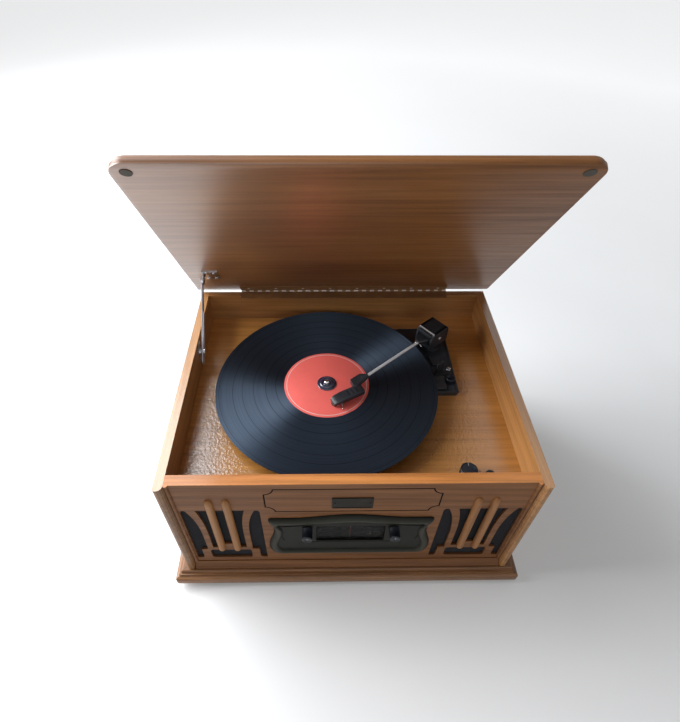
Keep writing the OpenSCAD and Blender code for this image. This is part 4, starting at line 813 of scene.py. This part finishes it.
SHAFT_R = 3.0
for name, x, node in (("volume_dial_knob", -53.5, "volume_knob"),
                      ("tuning_dial_knob", 53.5, "tuning_knob")):
    seat = (x, -171.8, 141)
    knob(name, seat, 6.5, 15, "-Y", node, 24, depth=0.035)
    shaft = [turned([(SHAFT_R, -21.8), (SHAFT_R, 0.5)], seat, "-Y", 32)]
    if node == "tuning_knob":
        pulley = [(9, -20.8), (9, -19.9), (8.2, -19.2), (8.2, -18.4), (9, -17.7), (9, -16.8)]
        shaft.append(turned(pulley, seat, "-Y", 40))
        shaft.append(turned([(SHAFT_R, -32.4), (SHAFT_R, -21.8)], seat, "-Y", 32))
    piece(name + "_shaft", *merge(*shaft), STEEL, node, "steel")
    line = box((x - 0.35, -186.95, 142.2), (x + 0.35, -186.0, 146.6))
    piece(name + "_line", *line, PRINT, node, "scale_print", smooth=0)

# ---- deck knob, key, speed knob
knob("function_dial", (141, -133, 196.3), 10.5, 15, "Z", "deck_knob", 30, cap=1.0)
piece("function_dial_shaft", *turned([(3, 180.3), (3, 197)], (141, -133, 0), "Z", 32), STEEL,
      "deck_knob", "steel")
piece("function_dial_line", *box((140.6, -127.5, 210.9), (141.4, -123.2, 211.25)), PRINT, "deck_knob",
      "scale_print", smooth=0)

prof = [(3.2, 1.0), (3.2, 1.35), (4.4, 1.5), (5.6, 1.25), (6.0, 0.5), (6.0, 0.05)]
v, f = turned(prof, (170, -131, DECK_Z), "Z", 48)
piece("socket_ring", v, f[:-2], BLACK, "cabinet", "steel", smooth=50)

key = box((123.9, -0.4, 202.3), (139.1, 23.4, 205.5), 1.2)
ob = piece("stop_key", *key, GREY, "stop_switch", "grey_plastic", "stop_switch", smooth=40)
soften(ob, 0.6, 3)
ribs = [box((126.3, y - 0.45, 205.3), (136.7, y + 0.45, 206.4), 0.2) for y in (8.5, 10.5, 12.5, 14.5)]
piece("stop_key_ribs", *merge(*ribs), GREY, "stop_switch", "grey_plastic")
piece("stop_key_stem", *box((130.0, 8.5, DECK_Z), (133.0, 14.5, 202.5)), GREY, "stop_switch", "grey_plastic")

knob("speed_dial", (146, 14.5, 202.3), 6.5, 8.2, "Z", "speed_knob", 20, cap=0.6)
fin = box((140.2, 13.4, 209.8), (148.0, 15.6, 211.6), 0.8)
piece("speed_dial_fin", *fin, BLACK_FINE, "speed_knob", "black_plastic")
piece("speed_dial_shaft", *turned([(2, DECK_Z), (2, 203)], (146, 14.5, 0), "Z", 24), STEEL,
      "speed_knob", "steel")

# ---- record
def washer(profile, n=128, bored=False):
    """A profile turned about the spindle with no end caps, and a wall in its bore if bored."""
    v, f = turned(profile, SPINDLE, "Z", n)
    f, last = [q for q in f if len(q) == 4], len(v) - n
    if bored:
        f += [(last + i, last + (i + 1) % n, (i + 1) % n, i) for i in range(n)]
    return v, f


HOLE_R, LABEL_Z = 3.65, 216.15
prof = [(HOLE_R, 214.6), (150.2, 214.6), (150.7, 214.9), (150.8, 215.3), (150.6, 215.75),
        (150.0, RECORD_Z), (149.2, RECORD_Z), (148.4, 215.86), (64, 215.86), (62.5, 215.9),
        (59.5, 215.84), (58.4, RECORD_Z), (HOLE_R, RECORD_Z)]
piece("record_disc", *washer(prof, 192, True), VINYL, "platter", "vinyl", "record", smooth=30)
prof = [(HOLE_R, RECORD_Z), (57.9, RECORD_Z), (58.0, 216.1), (57.8, LABEL_Z), (HOLE_R, LABEL_Z)]
piece("record_paper_label", *washer(prof), LABEL, "platter", "label_paper", "record_label")
piece("label_ring_54", *washer([(54.2, 216.14), (54.2, 216.19), (54.9, 216.19), (54.9, 216.14)]),
      LABEL_LINE, "platter", "label_paper")

prof = [(12.6, 216.2), (13, 216.5), (12.9, 217.0), (12.2, 217.5), (10.6, 217.8), (10.2, 217.6), (9.6, 217.7),
        (9.2, 218.3), (8.0, 219.0), (6.6, 219.3), (5.8, 219.1), (5.2, 218.6), (4.6, 218.5), (4.3, 218.9),
        (3.7, 219.0)]
piece("centre_cap", *turned(prof, SPINDLE, "Z", 64), CAP, "platter", "cap_plastic", "hub_cap", smooth=35)
prof = [(3.6, 212.0), (3.6, 219.6), (3.35, 220.5), (2.7, 221.3), (1.7, 221.85), (0.6, 222.0), (0.02, 222.0)]
piece("spindle_tip", *turned(prof, SPINDLE, "Z", 40), CHROME, "platter", "aluminium", smooth=60)

# ---- tonearm
YOKE_L, YOKE_W, YOKE_Z, YOKE_TOP = 18.5, 15.0, 213.0, 239.5  # half sizes, foot and top
CHEEK_Z = YOKE_Z + 5
chamfers = [(YOKE_L - 5, YOKE_TOP), (-YOKE_L + 3, YOKE_TOP), (-YOKE_L, YOKE_TOP - 4)]
cheek = [(-YOKE_L, CHEEK_Z), (YOKE_L, CHEEK_Z), (YOKE_L, YOKE_TOP - 8)] + chamfers
roof = [(-YOKE_L, CHEEK_Z), (-YOKE_L + 4.2, CHEEK_Z), (-YOKE_L + 4.2, YOKE_TOP - 3.2),
        (YOKE_L - 4, YOKE_TOP - 3.2)] + chamfers
housing = [box((-YOKE_L, -YOKE_W, YOKE_Z), (YOKE_L, YOKE_W, YOKE_Z + 6.3), 1.2),
           prism(cheek, "Y", -YOKE_W, -11.0), prism(cheek, "Y", YOKE_W, 11.0),
           prism(roof, "Y", -YOKE_W, YOKE_W), box((15, -12.9, 232.6), (YOKE_L, 12.9, 238.0), 0.6)]
ob = piece("arm_housing", *merge(*housing), BLACK, "arm_yoke", "black_plastic", "arm_yoke", matrix=ALONG_ARM)
soften(ob, 0.8, 3)
piece("arm_housing_stripe", *box((12.2, -14.0, 239.0), (13.9, 14.0, 240.1), 0.4), SATIN, "arm_yoke",
      "aluminium", matrix=ALONG_ARM)
AXLE = (0, 0, ARM_Z)
bolts = [turned([(2.6, s * 15), (2.6, s * 15.8), (2.2, s * 16.3), (0.02, s * 16.4)], AXLE, "-Y", 32)
         for s in (1, -1)]
piece("arm_bearing_caps", *merge(*bolts), STEEL, "arm_yoke", "steel", matrix=ALONG_ARM)

sections = ((-11, 10.3, 4.6), (-10.2, 10.3, 5.0), (10, 10.3, 5.0), (16.5, 10.2, 4.9), (22, 7.6, 4.4),
            (28, 5.0, 3.8), (31.6, 3.8, 3.4), (32, 3.2, 2.9))
neck = [[(x, y, ARM_Z + z) for y, z in rect(-w, -h, w, h, min(1.6, h * 0.5), 4)]
        for x, w, h in sections]
piece("arm_neck", *loft(neck), BLACK, "tonearm", "black_plastic", smooth=45, matrix=ALONG_ARM)
prof = [(1.9, 30), (2.0, 31), (2.0, 60), (2.0, 90), (2.0, 134)]
piece("arm_tube_rod", *turned(prof, AXLE, "X", 28), SATIN, "tonearm", "aluminium", "arm_tube",
      matrix=ALONG_ARM)
collar = [(2.6, 31.8), (3.1, 32.2), (3.1, 35), (2.6, 35.5), (2.1, 35.6)]
cross = turned([(1.5, -14.5), (1.5, 14.5)], AXLE, "-Y", 24)
piece("arm_collar", *merge(turned(collar, AXLE, "X", 28), cross), STEEL, "tonearm", "steel",
      matrix=ALONG_ARM)

HEAD = Matrix.Translation((152, 12, 0)) @ Matrix.Rotation(HEAD_TURN, 4, "Z")


def in_head(points):
    """Points of the pickup head in the arm's frame."""
    return [tuple(HEAD @ Vector(p)) for p in points]


link = [(134, -3), (140, -7.5), (156, -8), (160, 2), (158, 6), (144, 4), (134, 3)]
parts = [prism(link, "Z", ARM_Z - 4, ARM_Z + 3), turned([(3.5, 132), (3.5, 142)], AXLE, "X", 28)]
sections = ((0, 6.2, -4.4, 1.2), (0.8, 7.0, -4.9, 1.8), (6, 7.5, -5, 2), (30, 7.5, -5, 2),
            (40, 7.2, -5, 0.8), (45, 6.4, -4.6, -1.0), (46, 5.4, -4.0, -2.0))
parts.append(loft([in_head([(x, y, ARM_Z + z) for y, z in rect(-w, z0, w, z1, 0.9, 3)])
                   for x, w, z0, z1 in sections]))
ob = piece("arm_head", *merge(*parts), BLACK, "tonearm", "black_plastic", "headshell", smooth=45,
           matrix=ALONG_ARM)
soften(ob, 0.4, 2, 50)
ribs = []
for x in (9, 15, 21):
    v, f = box((x, -4.5, ARM_Z + 1.6), (x + 2.2, 4.5, ARM_Z + 2.15), 0.9)
    ribs.append((in_head(v), f))
piece("arm_head_ribs", *merge(*ribs), BLACK_FINE, "tonearm", "black_plastic", matrix=ALONG_ARM)
hook = in_head(((36, 6.8, 222.6), (36.4, 10.5, 222.3), (37.6, 14.0, 222.2), (39.6, 16.4, 222.9)))
piece("finger_lift", *tube(hook, [0.9, 0.9, 1.0, 0.7]), CHROME, "tonearm", "aluminium", matrix=ALONG_ARM)
PICKUP_AT = ALONG_ARM @ Matrix.Translation((190, 4.5, 0)) @ Matrix.Rotation(HEAD_TURN, 4, "Z")
cart = merge(box((-10, -5, 218.6), (7, 5, 221), 0.8), box((3.2, -2.4, 218.2), (8.2, 2.4, 219.4), 0.6))
piece("pickup_body", *cart, PICKUP, "tonearm", "ivory_plastic", "cartridge", smooth=35,
      matrix=PICKUP_AT)
tip = tube([(6.5, 0, 218.4), (3.6, 0, 217.6), (2.0, 0, 217.1), (2.0, 0, 216.65)], [0.5, 0.45, 0.35, 0.12], 10)
piece("pickup_stylus", *tip, STEEL, "tonearm", "steel", matrix=PICKUP_AT)

leads = [tube([(x - 3, y - 1.2, 221.2), (x - 1, y + 0.6, 220.4), (x + 2, y + 0.7, 219.9),
               (x + 4, y - 0.6, 219.6)], 0.42, 8) for x, y in ((-9, 5.2), (-6, 5.6), (-2.5, 5.4))]
piece("pickup_leads", *merge(*leads), COPPER, "tonearm", "steel", matrix=PICKUP_AT)
pins = [box((x, 4.6, 219.2), (x + 1.6, 5.7, 220.6), 0.2) for x in (-9.6, -5.6, 1.4)]
piece("pickup_contacts", *merge(*pins), IVORY, "tonearm", "ivory_plastic", matrix=PICKUP_AT)

# ---- deck mechanism
EDGE_X, EDGE_FRONT, EDGE_BACK = 155.0, -6.0, 124.5
SUNK_Z = 201.6  # where the raised parts start, inside the plate


def record_arc(r):
    """The part of a circle about the spindle that the deck's plate follows."""
    return [(SPINDLE.x + r * math.cos(math.radians(a)), r * math.sin(math.radians(a)))
            for a in range(0, 52, 2)]


mouldings = [box((EDGE_X - 2.4, EDGE_FRONT, SUNK_Z), (EDGE_X, EDGE_BACK, 203.6), 0.8),
             box((124.5, EDGE_FRONT, SUNK_Z), (EDGE_X, EDGE_FRONT + 2.2, 203.6), 0.8),
             box((84, EDGE_BACK - 2.2, SUNK_Z), (EDGE_X, EDGE_BACK, 203.2), 0.8),
             prism(record_arc(150.9) + record_arc(153.2)[::-1], "Z", SUNK_Z, 204.4),
             box((140.5, -2.0, 201.7), (141.2, 33, 203.4)),
             prism([(126, 45), (139, 45), (139, 63), (122, 63)], "Z", 201.7, 204.6),
             prism([(131, 27.6), (151, 27.6), (151, 33), (131, 33)], "Z", 201.7, 203.8)]
ob = piece("deck_mouldings", *merge(*mouldings), BLACK, "cabinet", "black_plastic", smooth=40)
soften(ob, 0.4)
prof = [(3.3, 202), (3.3, 202.9), (2.8, 203.5), (1.3, 203.8), (1.0, 203.2), (0.02, 203.1)]
heads = [turned(prof, (x, y, 0), "Z", 28) for x, y in ((137, 39), (149, 39), (84, 112.5))]
piece("deck_screws", *merge(*heads), STEEL, "cabinet", "steel", smooth=35)
clip = tube([(105.5, 78.5, 203), (105.5, 78.5, 217.5), (108, 74.5, 218.6), (112.5, 69, 218.6)], 0.7, 10)
piece("arm_wire_clip", *clip, STEEL, "cabinet", "steel")

# ---- stay, hinge, rear sockets
prof = [(2.4, 241.6), (2.3, 241.1), (1.6, 240.75), (0.02, 240.7)]
screws = [turned(prof, (x, y, 0), "Z", 24) for y in (90.3, 110.3) for x in (-196.7, -185.7)]
piece("stay_bracket_screws", *merge(*screws), STEEL, "lid", "steel", matrix=OPENED)

KNUCKLES, KNUCKLE_L, KNUCKLE_GAP = 51, 6.05, 0.25


def leaf(z, thick, first):
    """A leaf of the long hinge: its strip with tongues, and every other knuckle from the first."""
    strip = rect(-160, 153, 160, 168.9, 0.6, 2)
    plates = [loft([[(x, y, z) for x, y in strip], [(x, y, z + thick) for x, y in strip]])]
    knuckles = []
    for i in range(first, KNUCKLES, 2):
        x0 = -159.4 + (KNUCKLE_L + KNUCKLE_GAP) * i
        x1 = x0 + KNUCKLE_L
        knuckles.append(turned([(1.2, x0), (2.0, x0 + 0.25), (2.0, x1 - 0.25), (1.2, x1)],
                               (0, HINGE.y, HINGE.z), "X", 20))
        plates.append(box((x0, 168.5, min(z, z + thick)), (x1, 170.4, max(z, z + thick))))
    return plates, knuckles


lower, lower_knuckles = leaf(241.2, 0.8, 0)
upper, upper_knuckles = leaf(LID_Z, -0.8, 1)
piece("hinge_strip_cabinet", *merge(*lower), HINGE_BRONZE, "cabinet", "brass", "hinge_leaf_cabinet")
piece("hinge_strip_lid", *merge(*upper, *upper_knuckles), HINGE_BRONZE, "lid", "brass",
      "hinge_leaf_lid", matrix=OPENED)
# painted highlight: these knuckles are cream and the lid's stay bronze, as lit and unlit copies of one metal
piece("hinge_knuckles", *merge(*lower_knuckles), HINGE_CREAM_AND_HIGHLIGHT, "cabinet", "brass")
prof = [(2.2, 242.3), (2.1, 242.17), (1.3, 242.1), (0.02, 242.08)]
heads = [turned(prof, (-147 + 42 * i, 161, 0), "Z", 20) for i in range(8)]
piece("hinge_screws", *merge(*heads), HINGE_CREAM_AND_HIGHLIGHT, "lid", "steel", matrix=OPENED)

prof = [(4.0, -0.2), (5.4, -0.2), (5.4, 0.9), (4.0, 0.9)]
for i, x in enumerate((-120, -104, -88, -72)):
    piece("socket_collar_%d" % i, *turned(prof, (x, 165, 80), "Y", 32), (RED, IVORY)[i % 2],
          "cabinet", "ivory_plastic")

# ---- stage, light, camera
PHOTO_W, PHOTO_H = 680, 722  # pixels
FOCAL, CENTRE_X, CENTRE_Y = 499.972, 327.68, 353.15
SENSOR = 36  # the film's height, mm


def camera():
    """The camera fitted to the photo."""
    pitch, yaw, roll = (math.radians(a) for a in (45.2416, 1.1358, 0.5293))
    fwd = Vector((math.sin(yaw) * math.cos(pitch), math.cos(yaw) * math.cos(pitch), -math.sin(pitch)))
    right = Vector((math.cos(yaw), -math.sin(yaw), 0))
    up = right.cross(fwd)
    r2 = right * math.cos(roll) + up * math.sin(roll)
    u2 = -right * math.sin(roll) + up * math.cos(roll)
    cam = bpy.data.cameras.new("camera")
    cam.sensor_fit = "VERTICAL"
    cam.sensor_height = SENSOR
    cam.lens = FOCAL / PHOTO_H * SENSOR
    cam.shift_x = (PHOTO_W / 2 - CENTRE_X) / PHOTO_H
    cam.shift_y = (CENTRE_Y - PHOTO_H / 2) / PHOTO_H
    cam.clip_end = 50
    cam.clip_start = 0.02
    ob = bpy.data.objects.new("camera", cam)
    SCENE.collection.objects.link(ob)
    m = Matrix((r2, u2, -fwd)).transposed().to_4x4()
    m.translation = Vector((-36.0, -452.0, 731.1)) * MM
    ob.matrix_world = m
    SCENE.camera = ob


def seen(tree):
    """1 to the camera, in reflections and through glass, and 0 to the light on the object."""
    path = tree.nodes.new("ShaderNodeLightPath")
    last = path.outputs["Is Camera Ray"]
    for ray in ("Is Glossy Ray", "Is Transmission Ray"):
        m = tree.nodes.new("ShaderNodeMath")
        m.operation = "MAXIMUM"
        tree.links.new(last, m.inputs[0])
        tree.links.new(path.outputs[ray], m.inputs[1])
        last = m.outputs[0]
    return last


def floor():
    """A pale floor that the camera and reflections see brighter than it is lit."""
    s = Shader("floor_white", rough=0.6)
    cloud = s.noise(s.coord(), 3, 3, 0.5)
    s.color(s.mix(s.span(cloud, 0.3, 0.7), (0.64, 0.64, 0.64), (0.67, 0.67, 0.67)))
    s.set("Emission Color", (1, 1, 1, 1))
    away = s.node("ShaderNodeVectorMath", operation="LENGTH")
    s.link(s.coord(), away.inputs[0])
    far = s.span(away.outputs["Value"], 0.7, 2.4, 0.18, 0.62)
    s.link(s.math("MULTIPLY", seen(s.tree), far), s.bsdf.inputs["Emission Strength"])
    me = bpy.data.meshes.new("floor")
    corners = ((-6, -6), (6, -6), (6, 6), (-6, 6))
    me.from_pydata([(x, y, -0.0003) for x, y in corners], [], [(0, 1, 2, 3)])
    me.materials.append(s.mat)
    ob = bpy.data.objects.new("floor", me)
    SCENE.collection.objects.link(ob)


def world():
    """A soft pale world."""
    w = bpy.data.worlds.new("studio")
    w.use_nodes = True
    t = w.node_tree
    bg = t.nodes["Background"]
    bg.inputs["Color"].default_value = (0.94, 0.97, 1.0, 1)
    level = t.nodes.new("ShaderNodeMapRange")
    level.inputs[3].default_value = 0.16
    level.inputs[4].default_value = 0.85
    t.links.new(seen(t), level.inputs[0])
    t.links.new(level.outputs[0], bg.inputs["Strength"])
    SCENE.world = w


def lamp(name, place, target, size, power, color):
    """A rectangular lamp aimed at a point, in metres and watts."""
    la = bpy.data.lights.new(name, "AREA")
    la.shape = "RECTANGLE"
    la.size, la.size_y = size
    la.energy = power
    la.color = color
    ob = bpy.data.objects.new(name, la)
    SCENE.collection.objects.link(ob)
    ob.location = place
    ob.rotation_euler = (Vector(target) - Vector(place)).to_track_quat("-Z", "Y").to_euler()


camera()
floor()
world()
lamp("window", (-1.75, 0.18, 1.1), (0, 0, 0.2), (1.0, 1.6), 62, (0.97, 0.98, 1.0))
lamp("doorway", (-1.5, 1.05, 1.2), (-0.15, 0, 0.2), (0.8, 0.9), 30, (0.86, 0.93, 1.0))
lamp("sky", (-0.95, 0.85, 2.0), (0, 0, 0.3), (0.9, 1.1), 18, (0.96, 0.98, 1.0))
lamp("fill", (0.3, -2.0, 0.8), (0, 0, 0.25), (1.6, 1.2), 7, (1.0, 0.97, 0.93))
SCENE.view_settings.view_transform = "Standard"
